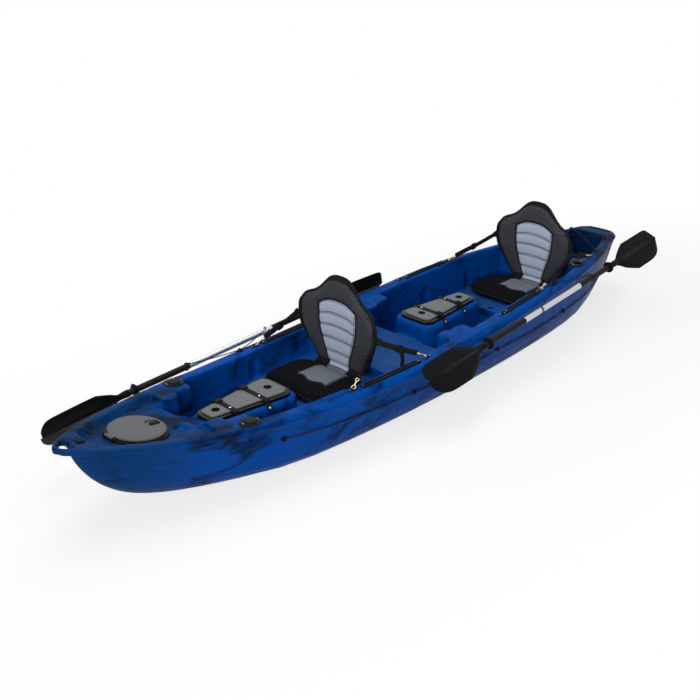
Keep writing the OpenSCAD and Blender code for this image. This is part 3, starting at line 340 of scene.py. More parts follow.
bandShape = ((-1, -0.3), (-0.94, -1), (0.94, -1), (1, -0.3), (1, 0.3), (0.94, 1), (-0.94, 1), (-1, 0.3))


def band(bm, path, across, width, thick):
    # flat webbing with eased edges
    path = [Vector(p) for p in path]
    rows = []
    for i, p in enumerate(path):
        along = heading(path, i)
        side = (across - along * across.dot(along)).normalized()
        up = along.cross(side)
        rows.append([bm.verts.new(p + side * (a * width / 2) + up * (b * thick / 2)) for a, b in bandShape])
    joinRings(bm, rows)


# camera at the photograph's place
cameraSet = {"place": (3.509, 3.128, 2.377), "azimuth": 134.29, "elevation": 25.09, "lens": 55.16}


def aimed(name, data, place, way):
    obj = addObject(name, data)
    obj.location = place
    obj.rotation_mode = "QUATERNION"
    obj.rotation_quaternion = way.to_track_quat("-Z", "Y")
    return obj


def makeCamera():
    a = math.radians(cameraSet["azimuth"])
    e = math.radians(cameraSet["elevation"])
    back = Vector((math.sin(a) * math.cos(e), -math.cos(a) * math.cos(e), math.sin(e)))
    data = bpy.data.cameras.new("camera")
    data.sensor_width = 36.0
    data.lens = cameraSet["lens"]
    data.clip_end = 120.0
    scene.camera = aimed("camera", data, cameraSet["place"], -back)


makeCamera()
print("camera set")

# curves of the gunwale, for the pieces that sit along it
hullLines = {"half": 1.85, "beam": 0.78, "gunwale": 0.296, "bowRise": 0.110, "sternRise": 0.060,
             "sternKick": 0.012, "sternDrop": 0.024, "sternRound": 0.110, "sternFull": 0.190, "stations": 28}


def clamp01(t):
    return min(1.0, max(0.0, t))


def easeIn(t):
    c = np.clip(t, 0, 1)
    return c * c * (3 - 2 * c)


def sheerCurve(x):
    rise = hullLines["bowRise"] * clamp01((x - 0.5) / 1.35) ** 2
    aft = hullLines["sternRise"] * (1 - math.cos(math.pi * clamp01((0.4 - x) / 1.3))) / 2
    end = clamp01((hullLines["sternRound"] - hullLines["half"] - x) / hullLines["sternRound"])
    kick = hullLines["sternKick"] * clamp01((-0.9 - x) / 0.95) ** 2
    return hullLines["gunwale"] + rise + aft + kick - hullLines["sternDrop"] * end ** 2


def beamCurve(x):
    share = max(1e-5, 1 - min(1.0, abs(x) / hullLines["half"]) ** 2.2)
    full = clamp01((hullLines["sternFull"] - hullLines["half"] - x) / hullLines["sternFull"])
    return hullLines["beam"] / 2 * share ** (0.65 if x > 0 else 0.6 - 0.18 * full)


stationX = [hullLines["half"] * 0.9995 * math.sin(math.radians(-90 + 180 * i / hullLines["stations"]))
            for i in range(hullLines["stations"] + 1)]
sheerRun = [sheerCurve(x) for x in stationX]
beamRun = [beamCurve(x) for x in stationX]


def sheerAt(x):
    return float(np.interp(x, stationX, sheerRun))


def beamAt(x):
    return float(np.interp(x, stationX, beamRun))


def slopeAt(x):
    return math.atan((sheerAt(x + 0.005) - sheerAt(x - 0.005)) / 0.01)


# finishes
def hullFinish():
    f = Finish("marbledHull")
    where = f.place()
    split = f.axes(where)
    x, z = split[0], split[2]
    swirl = f.grain(f.stretch(where, (1.0, 1.3, 1.6)), 2.1, 2.0, 0.5)
    warped = f.shift(f.stretch(where, (0.75, 1.5, 2.0)), f.stretch(swirl.also("Color"), (0.9, 0.9, 0.9)))
    broad = f.grain(warped, 2.6, 5.0, 0.55, 0.8)
    fine = f.grain(f.stretch(warped, (1.0, 2.2, 2.6)), 5.5, 6.0, 0.6, 1.4)
    ends = f.ease(abs(x + 0.02), 0.80, 1.75)
    # top: upward-facing faces, from the surface normal; it drives a painted sky reflection, a greyer and
    # duller blue on top faces
    top = f.ease(f.axes(f.add("ShaderNodeNewGeometry", {}, {}, "Normal"))[2], 0.55, 0.9)
    navy = f.ease(broad * 0.75 + fine * 0.25 + ends * 0.07, 0.48, 0.64)
    ink = f.ease(broad * 0.6 + fine * 0.4 + ends * 0.05, 0.585, 0.66)
    pale = f.ease(fine * 0.7 + (1 - broad) * 0.3, 0.56, 0.72)
    # slate: darker grey-blue marbling towards the ends, which is real tone, plus a painted reflection on
    # upward faces through top
    slate = f.ease(ends * 0.55 + fine * 0.45 + top * 0.16, 0.50, 0.80)
    blue = f.tint(navy, (0.0008, 0.058, 0.300), (0.0008, 0.019, 0.085))
    blue = f.tint(pale * 0.6, blue, (0.0020, 0.108, 0.440))
    blue = f.tint(slate * 0.80, blue, (0.0030, 0.030, 0.096))
    stern = f.ease(0.0 - x, 1.25, 1.75)
    blue = f.tint(stern * (0.30 + broad * 0.5), blue, (0.0030, 0.017, 0.060))
    # painted sky reflection: upward faces low in the hull, such as the decks and cockpit floors, get a paler
    # grey-blue
    low = 1 - f.ease(z, 0.225, 0.260)
    blue = f.tint(top * low * (0.20 + fine * 0.5), blue, (0.024, 0.064, 0.150))
    blue = f.tint(ink * 0.9, blue, (0.0040, 0.0060, 0.011))
    speck = f.grain(where, 900.0, 2.0)
    pebble = f.grain(where, 260.0, 3.0, 0.6)
    waves = f.grain(where, 16.0, 2.0)
    rough = 0.27 + pebble * 0.14 + navy * 0.05
    return f.close(blue, rough, 0.022, (pebble * 0.5 + speck * 0.2 + waves * 3.0, 0.20, 0.0012))


def plasticFinish(name, colour, light, roughness, grainScale=320.0, depth=0.25, shine=0.06):
    f = Finish(name)
    where = f.place()
    cloud = f.grain(where, 22.0, 4.0, 0.6)
    pebble = f.grain(where, grainScale, 2.0, 0.6)
    scuff = f.ease(f.grain(f.stretch(where, (1.0, 3.0, 2.0)), 90.0, 5.0, 0.7), 0.56, 0.74)
    shade = f.tint(cloud, colour, light)
    shade = f.tint(scuff * 0.22, shade, [min(1.0, c * 1.8 + 0.02) for c in light])
    rough = roughness - 0.06 + cloud * 0.12 + scuff * 0.1
    return f.close(shade, rough, shine, (pebble + cloud * 0.6, depth, 0.0006))


def bladeFinish():
    # black moulding, with a painted highlight along its raised ridge, broken up by noise
    f = Finish("bladePlastic")
    where = f.place()
    ridge = f.share("ridge")
    cloud = f.grain(where, 22.0, 4.0, 0.6)
    pebble = f.grain(where, 420.0, 2.0, 0.6)
    ridgeHighlightBreakup = f.ease(f.grain(where, 130.0, 4.0, 0.7), 0.35, 0.70)
    shade = f.tint(cloud, (0.0022, 0.0026, 0.0030), (0.0070, 0.0078, 0.0088))
    # painted highlight: the ridge share lightens the black towards grey
    shade = f.tint(ridge * (0.35 + ridgeHighlightBreakup * 0.5), shade, (0.085, 0.087, 0.092))
    return f.close(shade, 0.36 + cloud * 0.12, 0.04, (pebble + cloud * 0.6, 0.15, 0.0006))


def webbingFinish():
    f = Finish("wovenWebbing")
    x, y, z = f.axes(f.place())
    run = (x * 0.7 + y * 0.9 + z) * 2600.0
    cross = (x * 0.8 - y * 0.5 - z * 0.6) * 2100.0
    weave = abs(run.sine()) * 0.6 + abs(cross.sine()) * 0.4
    fuzz = f.grain(f.place(), 420.0, 3.0, 0.7)
    shade = f.tint(weave * 0.6 + fuzz * 0.4, (0.004, 0.004, 0.0045), (0.022, 0.022, 0.024))
    return f.close(shade, 0.66 + fuzz * 0.2, 0.05, (weave, 0.5, 0.0008))


def seatFinish():
    f = Finish("seatCloth")
    where = f.place()
    x, y, z = f.axes(where)
    panel = f.share("panel")
    dip = f.share("dip")
    hem = f.share("hem")
    mask = f.ease(panel, 0.42, 0.58)
    brick = f.ease((y * 260.0).sine(), -0.2, 0.2) * 1.5708
    rib = (abs(((z + x * 0.3) * 400.0 + brick).sine())) ** 1.4 * (1 - hem)
    knit = abs(((y + z) * 2400.0).sine()) * 0.5 + abs(((y - z) * 2400.0).sine()) * 0.5
    fuzz = f.grain(where, 380.0, 4.0, 0.7)
    broad = f.grain(where, 9.0, 3.0, 0.5)
    flat = f.share("flat")
    nap = rib * 0.80 + fuzz * (0.20 - flat * 0.15)
    black = f.tint(nap, (0.0028, 0.0030, 0.0036), (0.088, 0.092, 0.108))
    yarn = knit * 0.45 + fuzz * 0.25 + broad * 0.3
    pale = f.tint(yarn, (0.350, 0.405, 0.500), (0.480, 0.540, 0.645))
    dull = f.tint(yarn, (0.092, 0.106, 0.130), (0.165, 0.184, 0.218))
    grey = f.tint(flat, pale, dull)
    cloth = f.tint(mask, black, grey)
    # painted shade in the sewn grooves, the border seam and the fold's crease: the cloth is darkened towards
    # near-black
    cloth = f.tint(dip * 0.80, cloth, (0.010, 0.010, 0.012))
    relief = rib * (1 - mask) + knit * 0.25 * mask + fuzz * 0.2
    return f.close(cloth, 0.80 + fuzz * 0.14, 0.03, (relief, 0.7, 0.0014))


def pipingFinish():
    f = Finish("seatPiping")
    where = f.place()
    fuzz = f.grain(where, 500.0, 3.0, 0.7)
    ridge = abs((f.axes(where)[2] * 1900.0).sine())
    shade = f.tint(fuzz * 0.6 + ridge * 0.4, (0.0035, 0.0035, 0.004), (0.016, 0.016, 0.018))
    return f.close(shade, 0.62 + fuzz * 0.2, 0.06, (ridge + fuzz, 0.4, 0.0006))


def threadFinish():
    f = Finish("seatThread")
    fuzz = f.grain(f.place(), 900.0, 2.0)
    shade = f.tint(fuzz, (0.012, 0.013, 0.015), (0.035, 0.037, 0.042))
    return f.close(shade, 0.55 + fuzz * 0.2, 0.1)


def metalFinish(name, dark, light, roughness, scale):
    f = Finish(name)
    where = f.place()
    cloud = f.grain(where, scale, 4.0, 0.6)
    scratch = f.grain(f.stretch(where, (0.3, 6.0, 6.0)), scale * 4.0, 3.0, 0.7)
    shade = f.tint(cloud * 0.5 + scratch * 0.5, dark, light)
    return f.close(shade, roughness + scratch * 0.12, relief=(scratch, 0.12, 0.0003), metal=1.0)


def cordFinish(name, colour, light, pitch):
    f = Finish(name)
    where = f.place()
    x, y, z = f.axes(where)
    twist = abs(((x + y * 0.6 + z * 1.7) * pitch).sine())
    braid = abs(((x - y * 0.6 - z * 1.7) * pitch).sine())
    fuzz = f.grain(where, 700.0, 2.0)
    shade = f.tint(twist.least(braid) * 0.8 + fuzz * 0.2, colour, light)
    return f.close(shade, 0.6 + fuzz * 0.2, 0.08, (twist.least(braid), 0.6, 0.0008))


finishes = {
    "hull": hullFinish(),
    "lidPlate": plasticFinish("lidPlate", (0.118, 0.121, 0.128), (0.160, 0.163, 0.171), 0.50, shine=0.12),
    "roundLid": plasticFinish("roundLid", (0.078, 0.081, 0.088), (0.112, 0.116, 0.124), 0.40, shine=0.13),
    "tray": plasticFinish("trayRim", (0.0022, 0.0022, 0.0026), (0.006, 0.006, 0.007), 0.24, shine=0.20),
    "black": plasticFinish("blackFitting", (0.0035, 0.0035, 0.004), (0.010, 0.010, 0.011), 0.42),
    "rod": plasticFinish("rodHolder", (0.0060, 0.0062, 0.0068), (0.018, 0.018, 0.020), 0.46),
    # near-black cups in the lids' finger holes: painted shade standing in for the dark inside of the holes
    "holeShadeCup": plasticFinish("lidHoleShadeCup", (0.0006, 0.0006, 0.0007), (0.002, 0.002, 0.0022), 0.60,
                             shine=0.02),
    "blade": bladeFinish(),
    "webbing": webbingFinish(),
    "seat": seatFinish(),
    "piping": pipingFinish(),
    "thread": threadFinish(),
    "brass": metalFinish("brassHook", (0.42, 0.30, 0.12), (0.78, 0.64, 0.34), 0.26, 60.0),
    "steel": metalFinish("steelScrew", (0.42, 0.43, 0.44), (0.68, 0.69, 0.70), 0.24, 80.0),
    "line": cordFinish("deckLine", (0.003, 0.003, 0.0035), (0.012, 0.012, 0.014), 950.0),
    "fleck": cordFinish("deckLineFleck", (0.020, 0.021, 0.024), (0.110, 0.112, 0.120), 950.0),
    "bungee": cordFinish("bungeeCord", (0.004, 0.004, 0.0045), (0.022, 0.022, 0.024), 1300.0),
}
print("finishes made")

# hull skin with soft moulded edges
consoles = {"front": (0.955, 0.252, 0.0), "rear": (-0.345, 0.290, math.pi)}          # x, top and turn
hullForm = {"voxel": 0.0056, "rounding": 6, "thin": 0.45, "pocket": 0.10, "bowX": 1.486, "bowMouth": 0.095,
            "bowDrop": 0.028, "stem": 0.385, "stemFrom": 0.9, "stemEnd": 1.792, "mouth": (0.196, 0.083),
            "lip": (-0.0075, 0.0008),
            "rods": ((1.122, 0.052), (-1.211, 0.062)), "rodLean": 15.0, "rodMouth": 0.0268,
            "deckZ": 0.215, "ribX": (-0.08, 0.16), "ribHalf": 0.13, "ribPitch": 0.024, "ribDeep": 0.0026}


def mouthWall(c, n):
    # true for a face on the wall of a hatch or rod mouth
    x, slope = hullForm["bowX"], slopeAt(hullForm["bowX"])
    dx = c.x - x
    dz = c.z - (sheerAt(x) - hullForm["bowDrop"])
    reach = math.hypot(dx * math.cos(slope) + dz * math.sin(slope), c.y)
    up = dz * math.cos(slope) - dx * math.sin(slope)
    steep = abs(n.z) < 0.35
    low, high = hullForm["lip"]
    if abs(reach - hullForm["bowMouth"]) < 0.004 and low < up < high and steep:
        return True
    long, wide = hullForm["mouth"]
    for x, top, turn in consoles.values():
        if abs(c.x - x) < long and abs(c.y) < wide and low < c.z - top < high and steep:
            return True
    lean = math.radians(hullForm["rodLean"])
    side = 1.0 if c.y > 0 else -1.0
    for x, inset in hullForm["rods"]:
        axis = Vector((-math.sin(slopeAt(x)) * math.cos(lean), side * math.sin(lean),
                       math.cos(slopeAt(x)) * math.cos(lean)))
        away = c - Vector((x, side * (beamAt(x) - inset), sheerAt(x) - 0.002))
        along = away.dot(axis)
        near = (away - axis * along).length < hullForm["rodMouth"]
        if near and -0.08 < along < 0.02 and abs(n.dot(axis)) < 0.4:
            return True
    return False


def fairKeel(co):
    # the solid's stem runs straight between stations; the skin follows the curve itself
    def stem(x):
        share = np.clip((x - hullForm["stemFrom"]) / (hullForm["stemEnd"] - hullForm["stemFrom"]), 0, 1)
        return hullForm["stem"] * (1 - (1 - share ** 4) ** 0.72)

    knots = hullForm["stemEnd"] / hullLines["half"] * np.array(stationX)
    x = co[:, 0]
    curve = stem(x)
    fore = (x > 0.95) & (x < hullForm["stemEnd"] - 0.012)
    gap = np.where(fore, curve - np.interp(x, knots, stem(knots)), 0.0)
    sheer = np.interp(x, stationX, sheerRun)
    low = np.clip((sheer - 0.05 - co[:, 2]) / np.maximum(sheer - 0.05 - curve, 0.02), 0, 1)
    co[:, 2] += gap * low


def fairRim(co):
    # the rim's ends follow the true outline instead of the straight runs between stations
    x = np.clip(co[:, 0], stationX[0], stationX[-1])
    fine = np.linspace(stationX[0], stationX[-1], 1500)
    true = np.interp(x, fine, [beamCurve(v) for v in fine])
    ratio = true / np.interp(x, stationX, beamRun)
    sheer = np.interp(x, stationX, sheerRun)
    near = np.clip((co[:, 2] - sheer + 0.110) / 0.05, 0, 1) * (np.abs(x) > 1.3)
    co[:, 1] *= 1 + (np.clip(ratio, 1.0, 1.2) - 1) * near


def makeHull():
    bm = nodeMesh("hull_shell")
    barred = {f for f in bm.faces if mouthWall(f.calc_center_median(), f.normal)}
    seed = min(bm.faces, key=lambda f: f.calc_center_median().z)
    seen = {seed}
    queue = [seed]
    while queue:
        face = queue.pop()
        for edge in face.edges:
            for other in edge.link_faces:
                if other not in seen and other not in barred:
                    seen.add(other)
                    queue.append(other)
    print("hull skin keeps", len(seen), "of", len(bm.faces), "faces,", len(barred), "mouth walls")
    bmesh.ops.delete(bm, geom=[f for f in bm.faces if f not in seen], context="FACES")
    # the mouths become closed pockets, so that the skin can be rounded as one solid
    rim = [e for e in bm.edges if e.is_boundary]
    grown = bmesh.ops.extrude_edge_only(bm, edges=rim)["geom"]
    low = [g for g in grown if isinstance(g, bmesh.types.BMVert)]
    bmesh.ops.translate(bm, verts=low, vec=(0.0, 0.0, -hullForm["pocket"]))
    bmesh.ops.holes_fill(bm, edges=[e for e in bm.edges if e.is_boundary], sides=0)
    bmesh.ops.recalc_face_normals(bm, faces=bm.faces)
    obj = fromBmesh("hullBody", bm)
    modify(obj, "REMESH", mode="VOXEL", voxel_size=hullForm["voxel"])
    modify(obj, "SMOOTH", factor=0.5, iterations=hullForm["rounding"])
    settle(obj)
    co = points(obj.data)
    fairKeel(co)
    fairRim(co)
    # ribs in the deck between the cockpits
    x, y, z = co.T
    deck = (np.abs(z - hullForm["deckZ"]) < 0.003) & (np.abs(y) < hullForm["ribHalf"])
    deck &= (x > hullForm["ribX"][0]) & (x < hullForm["ribX"][1])
    wave = np.clip(np.cos((x + 0.067) / hullForm["ribPitch"] * 2 * math.pi) * 1.6 - 0.3, 0, 1)
    co[deck, 2] -= hullForm["ribDeep"] * wave[deck]
    setPoints(obj.data, co)
    modify(obj, "DECIMATE", ratio=hullForm["thin"])
    settle(obj)
    smoothShade(obj.data)
    dress(obj, "hull", "hull", ["hull_shell"])
    print("hull skin", len(obj.data.polygons), "faces")


makeHull()

# seats: cushions blown up as closed fabric, then sewn
seatForm = {"foldX": 0.356, "foldZ": 0.218, "pitch": 1.502, "lift": 0.008, "backHeight": 0.440,
            "backWidth": 0.490, "backThick": 0.046, "wrap": 0.034, "padLength": 0.292, "padWidth": 0.490,
            "padThick": 0.060, "padX": 0.516, "padZ": 0.1604, "voxel": 0.0052, "pressure": 4.0,
            "reach": 0.007, "frames": 20, "channels": (0.165, 0.315, 0.455, 0.590), "panelTop": 0.745,
            "arch": 0.004, "corner": 0.0055, "tuck": 0.0050, "drawX": 0.13, "drawY": 0.16,
            "across": 0.24, "up": 0.42, "seatFill": 0.6, "foldFill": 0.3}
clothSet = {"quality": 4, "mass": 0.2, "tension_stiffness": 25.0, "compression_stiffness": 25.0,
            "shear_stiffness": 10.0, "bending_stiffness": 1.5, "use_pressure": True,
            "uniform_pressure_force": seatForm["pressure"]}
# depths of the sewn seams and swell, then the trim's radii and how proud it lies
sewForm = {"channel": 0.0034, "border": 0.0058, "rim": 0.0030, "wing": 0.0035, "swell": 0.0024,
           "padBorder": 0.006, "padSwell": 0.003, "groove": 0.0055, "blur": 0.006,
           "piping": 0.0030, "backHem": 0.0068, "padHem": 0.0045, "backProud": 0.0012, "padProud": 0.001,
           "backRows": (0.008, -0.008), "padRows": (0.028, -0.028), "channelRows": (-0.011, 0.011),
           "gap": 0.0068, "stitch": (0.0058, 0.0017, 0.0017)}
foldForm = {"half": 0.140, "onBack": 0.018, "onPad": -0.116, "proud": 0.0016, "thick": 0.004, "panel": 0.062}


def seatShift(seat):
    return (0.0, 0.0) if seat == "front" else (-seatForm["pitch"], seatForm["lift"])


def backHalf(v):
    low = 0.60 + 0.40 * np.sin(math.pi / 2 * np.minimum(v, 0.6) / 0.6)
    high = 1 - 0.07 * ((np.maximum(v, 0.6) - 0.6) / 0.4) ** 2
    return seatForm["backWidth"] / 2 * np.where(v < 0.6, low, high)


def backCrest(t):
    return 0.76 + 0.24 * np.exp(-(np.abs(t) / 0.52) ** 3) - 0.11 * np.abs(t) ** 10


def backTop(t, v):
    return seatForm["backHeight"] * v * (1 + (backCrest(t) - 1) * v ** 1.5)


def backWrap(t, v):
    return seatForm["wrap"] * t * t * easeIn(v / 0.45)


def archAt(t):
    return seatForm["arch"] * (1 - (t / 0.45) ** 2)


def backSwell(t, v):
    share = np.sqrt(np.clip((1 - np.abs(t) ** 4) * (1 - np.abs(2 * v - 1) ** 6), 0, 1))
    return seatForm["backThick"] / 2 * (0.3 + 0.7 * share)


def panelEdge(v):
    return 0.40 + 0.075 * easeIn(v / 0.5)


def panelInside(t, v):
    # metres from the panel's border, rounded at its upper corners
    side = (panelEdge(v) - np.abs(t)) * seatForm["across"]
    over = (seatForm["panelTop"] - 0.012 * (np.abs(t) / 0.47) ** 2 - v) * seatForm["up"]
    corner = seatForm["corner"]
    return -corner * np.logaddexp(-side / corner, -over / corner)


def closedPad(name, front, rear):
    rows, cols = front.shape[:2]
    bm = bmesh.new()
    a = [[bm.verts.new(front[i, j]) for j in range(cols)] for i in range(rows)]
    b = [[bm.verts.new(rear[i, j]) for j in range(cols)] for i in range(rows)]
    for i in range(rows - 1):
        for j in range(cols - 1):
            bm.faces.new((a[i][j], a[i][j + 1], a[i + 1][j + 1], a[i + 1][j]))
            bm.faces.new((b[i][j], b[i + 1][j], b[i + 1][j + 1], b[i][j + 1]))
    edge = [(0, j) for j in range(cols)] + [(i, cols - 1) for i in range(1, rows)]
    edge += [(rows - 1, j) for j in range(cols - 2, -1, -1)] + [(i, 0) for i in range(rows - 2, 0, -1)]
    for (i, j), (k, l) in zip(edge, edge[1:] + edge[:1]):
        bm.faces.new((a[i][j], b[i][j], b[k][l], a[k][l]))
    bmesh.ops.recalc_face_normals(bm, faces=bm.faces)
    return fromBmesh(name, bm)


def puff(obj):
    modify(obj, "REMESH", mode="VOXEL", voxel_size=seatForm["voxel"])
    settle(obj)
    start = points(obj.data)
    cloth = modify(obj, "CLOTH")
    for key, value in clothSet.items():
        setattr(cloth.settings, key, value)
    cloth.settings.effector_weights.gravity = 0.0
    cloth.collision_settings.use_collision = False
    cloth.point_cache.frame_start = 1
    cloth.point_cache.frame_end = seatForm["frames"]
    for step in range(1, seatForm["frames"] + 1):
        scene.frame_set(step)
    graph = bpy.context.evaluated_depsgraph_get()
    blown = points(obj.evaluated_get(graph).data)
    obj.modifiers.clear()
    scene.frame_set(1)
    move = blown - start
    far = np.linalg.norm(move, axis=1, keepdims=True)
    move *= np.minimum(1.0, seatForm["reach"] / np.maximum(far, 1e-9))
    setPoints(obj.data, start + move)


def gauss(d, width):
    return np.exp(-(d / width) ** 2)


def addShares(mesh, **layers):
    # named shares at the points, which the finishes read
    for name, values in layers.items():
        spread = np.broadcast_to(values, len(mesh.vertices))
        layer = mesh.attributes.new(name, "FLOAT", "POINT")
        layer.data.foreach_set("value", np.ascontiguousarray(spread, dtype=np.float32))


def softStep(inside):
    return np.clip(0.5 + inside / sewForm["blur"], 0, 1)


def backPlace(co):
    y = co[:, 1]
    z = np.maximum(co[:, 2], 0)
    v = np.clip(z / seatForm["backHeight"], 0, 1.2)
    for step in range(14):
        t = np.clip(y / backHalf(v), -1.15, 1.15)
        full = seatForm["backHeight"] * (1 + (backCrest(t) - 1) * np.clip(v, 0, 1.2) ** 1.5)
        v = np.clip(z / full, 0, 1.2)
    return t, v


def makeBack():
    t, v = np.meshgrid(np.linspace(-1, 1, 45), np.linspace(0, 1, 45))
    y = t * backHalf(v)
    z = backTop(t, v)
    swell = backSwell(t, v) * 0.86
    front = np.stack([backWrap(t, v) + swell, y, z], axis=-1)
    rear = np.stack([backWrap(t, v) - 0.7 * swell, y, z], axis=-1)
    obj = closedPad("seatBackForm", front, rear)
    puff(obj)
    mesh = obj.data
    co = points(mesh)
    n = points(mesh, "normal")
    t, v = backPlace(co)
    face = np.clip((n[:, 0] - 0.1) / 0.5, 0, 1)
    inside = panelInside(t, v)
    border = gauss(inside, sewForm["groove"])
    sewn = np.zeros(len(co))
    lift = np.zeros(len(co))
    arch = archAt(t)
    for c in seatForm["channels"]:
        sewn = np.maximum(sewn, gauss((v - c - arch) * seatForm["up"], 0.0028))
    bounds = (0.02,) + seatForm["channels"] + (seatForm["panelTop"],)
    for low, high in zip(bounds, bounds[1:]):
        share = np.clip((v - low - arch) / (high - low), 0, 1)
        lift = np.maximum(lift, np.sin(math.pi * share) ** 0.8)
    within = np.clip(inside / 0.006, 0, 1)
    margin = np.minimum((1 - np.abs(t)) * seatForm["across"], (1 - v) * seatForm["up"])
    rim = gauss(margin - 0.020, 0.0035)
    # tucked seams run from the panel's upper corners to the edge
    tucked = 0.735 + 0.34 * (np.abs(t) - 0.47)
    wing = gauss((v - tucked) * seatForm["up"], 0.0032) * (np.abs(t) > 0.45)
    dent = sewForm["channel"] * sewn * within + sewForm["border"] * border
    dent += sewForm["rim"] * rim + sewForm["wing"] * wing
    co += n * (face * (sewForm["swell"] * lift * within - dent))[:, None]
    setPoints(mesh, co)
    # dark: painted shade in the channel seams, the panel's border groove, the tucked wing seams and the rim
    dark = 0.62 * sewn * within + 0.9 * border + 0.7 * wing + 0.5 * rim
    hem = np.maximum(np.clip((0.021 - margin) / 0.003, 0, 1), 0.6 * (1 - face))
    addShares(mesh, panel=np.where(face > 0.02, softStep(inside), 0.0), dip=face * np.clip(dark, 0, 1),
              hem=hem, flat=0.0)
    return obj


def padEdge(s):
    return 0.385 + 0.01 * s


def padFront(t):
    # scalloped front of the grey panel
    return 0.29 + 0.07 * np.cos(t / 0.39 * 1.5 * math.pi)


def padSpot(s, t):
    # outline of the cushion, drawn in towards its corners
    x = seatForm["padLength"] / 2 * s * (1 - seatForm["drawX"] * abs(t) ** 4)
    y = seatForm["padWidth"] / 2 * t * (1 - seatForm["drawY"] * abs(s) ** 5)
    return x, y


def makePad():
    t, s = np.meshgrid(np.linspace(-1, 1, 45), np.linspace(-1, 1, 41))
    crown = np.sqrt(np.clip((1 - np.abs(s) ** 4) * (1 - np.abs(t) ** 4), 0, 1))
    x, y = padSpot(s, t)
    high = seatForm["padThick"] * (0.52 + 0.42 * crown) - 0.003
    low = seatForm["padThick"] * 0.30 * (1 - np.sqrt(crown)) + 0.003
    obj = closedPad("seatPadForm", np.stack([x, y, high], axis=-1), np.stack([x, y, low], axis=-1))
    puff(obj)
    mesh = obj.data
    co = points(mesh)
    n = points(mesh, "normal")
    s = np.clip(co[:, 0] / (seatForm["padLength"] / 2), -1.1, 1.1)
    drawn = 1 - seatForm["drawY"] * np.abs(np.clip(s, -1, 1)) ** 5
    t = np.clip(co[:, 1] / (seatForm["padWidth"] / 2 * drawn), -1.1, 1.1)
    s = s / (1 - seatForm["drawX"] * np.abs(np.clip(t, -1, 1)) ** 4)
    face = np.clip((n[:, 2] - 0.1) / 0.5, 0, 1)
    inside = np.minimum((padEdge(s) - np.abs(t)) * 0.245, (padFront(t) - s) * 0.146)
    border = gauss(inside, sewForm["groove"])
    within = np.clip(inside / 0.01, 0, 1)
    dish = within * np.cos(np.clip(t / 0.5, -1, 1) * math.pi / 2)
    co += n * (face * (sewForm["padSwell"] * dish - sewForm["padBorder"] * border))[:, None]
    # a dip along the rear, where the folded back comes down
    co[:, 2] -= seatForm["tuck"] * face * gauss(s + 0.78, 0.20) * np.clip(1 - (t / 0.55) ** 2, 0, 1)
    co[:, 2] = np.maximum(co[:, 2], 0.0003)
    setPoints(mesh, co)
    # the pad's border groove carries painted shade
    addShares(mesh, panel=np.where(face > 0.02, softStep(inside), 0.0), dip=face * 0.9 * border,
              hem=1.0, flat=1.0)
    return obj


def treeOf(obj):
    mesh = obj.data
    return BVHTree.FromPolygons([v.co.copy() for v in mesh.vertices], [p.vertices[:] for p in mesh.polygons])


def onFront(tree, y, z):
    return tree.ray_cast(Vector((0.4, y, z)), Vector((-1, 0, 0)))[:2]


def onTop(tree, x, y):
    return tree.ray_cast(Vector((x, y, 0.4)), Vector((0, 0, -1)))[:2]


def seam(bm, found):
    # a row of short stitches along points on the cloth
    carried = 0.0
    for (p, n), (q, m) in zip(found, found[1:]):
        step = (q - p).length
        carried += step
        if carried < sewForm["gap"] or step < 1e-6:
            continue
        carried = 0.0
        along = (q - p).normalized()
        side = n.cross(along).normalized()
        block(bm, framed((p + q) / 2 + n * 0.0004, along, side), sewForm["stitch"])


def lifted(found, lift):
    return [(p + n * lift, n) for p, n in found if p is not None]


def trim(line, hem, radius, rows):
    # piping along the panel and the hem, and rows of stitches
    piping = bmesh.new()
    ringTube(piping, [p for p, n in line][::2], sewForm["piping"], 8)
    ringTube(piping, [p for p, n in hem], radius, 10, True)
    thread = bmesh.new()
    for found in rows:
        seam(thread, found)
    return piping, thread


def backLine(tree, pairs, lift):
    return lifted([onFront(tree, t * backHalf(v), backTop(t, v)) for t, v in pairs], lift)


def cross(low, high, test):
    # place between low and high where the test turns
    for step in range(30):
        middle = (low + high) / 2
        if test(middle):
            low = middle
        else:
            high = middle
    return low


def borderPairs(shrink=0.0):
    # points along the panel's border, shrink metres inside it
    def far(t, v):
        return panelInside(t, v) > shrink

    turn = 0.36
    peak = cross(0.3, 0.9, lambda v: far(turn, v))
    side = [(cross(0.0, 0.7, lambda t: far(t, v)), v) for v in np.linspace(0.02, peak, 60)]
    over = [(t, cross(0.3, 0.9, lambda v: far(t, v))) for t in np.linspace(turn, -turn, 60)]
    return side + over[1:-1] + [(-t, v) for t, v in reversed(side)]


def sewBack(form):
    tree = treeOf(form)
    proud = sewForm["backProud"]
    edge = [(1.0, v) for v in np.linspace(0.02, 1, 40)] + [(t, 1.0) for t in np.linspace(0.96, -0.96, 50)]
    edge += [(-1.0, v) for v in np.linspace(1, 0.02, 40)] + [(t, 0.0) for t in np.linspace(-0.96, 0.96, 30)]
    guesses = [Vector((backWrap(t, v) + 0.001, t * backHalf(v), backTop(t, v))) for t, v in edge]
    hem = lifted([tree.find_nearest(guess)[:2] for guess in guesses], proud)
    rows = [borderPairs(shrink) for shrink in sewForm["backRows"]]
    for c in seatForm["channels"]:
        across = [t for t in np.linspace(-0.46, 0.46, 80) if abs(t) < panelEdge(c) - 0.02]
        rows += [[(t, c + step + archAt(t)) for t in across] for step in sewForm["channelRows"]]
    line = backLine(tree, borderPairs(), proud)
    return trim(line, hem, sewForm["backHem"], [backLine(tree, row, 0.0002) for row in rows])


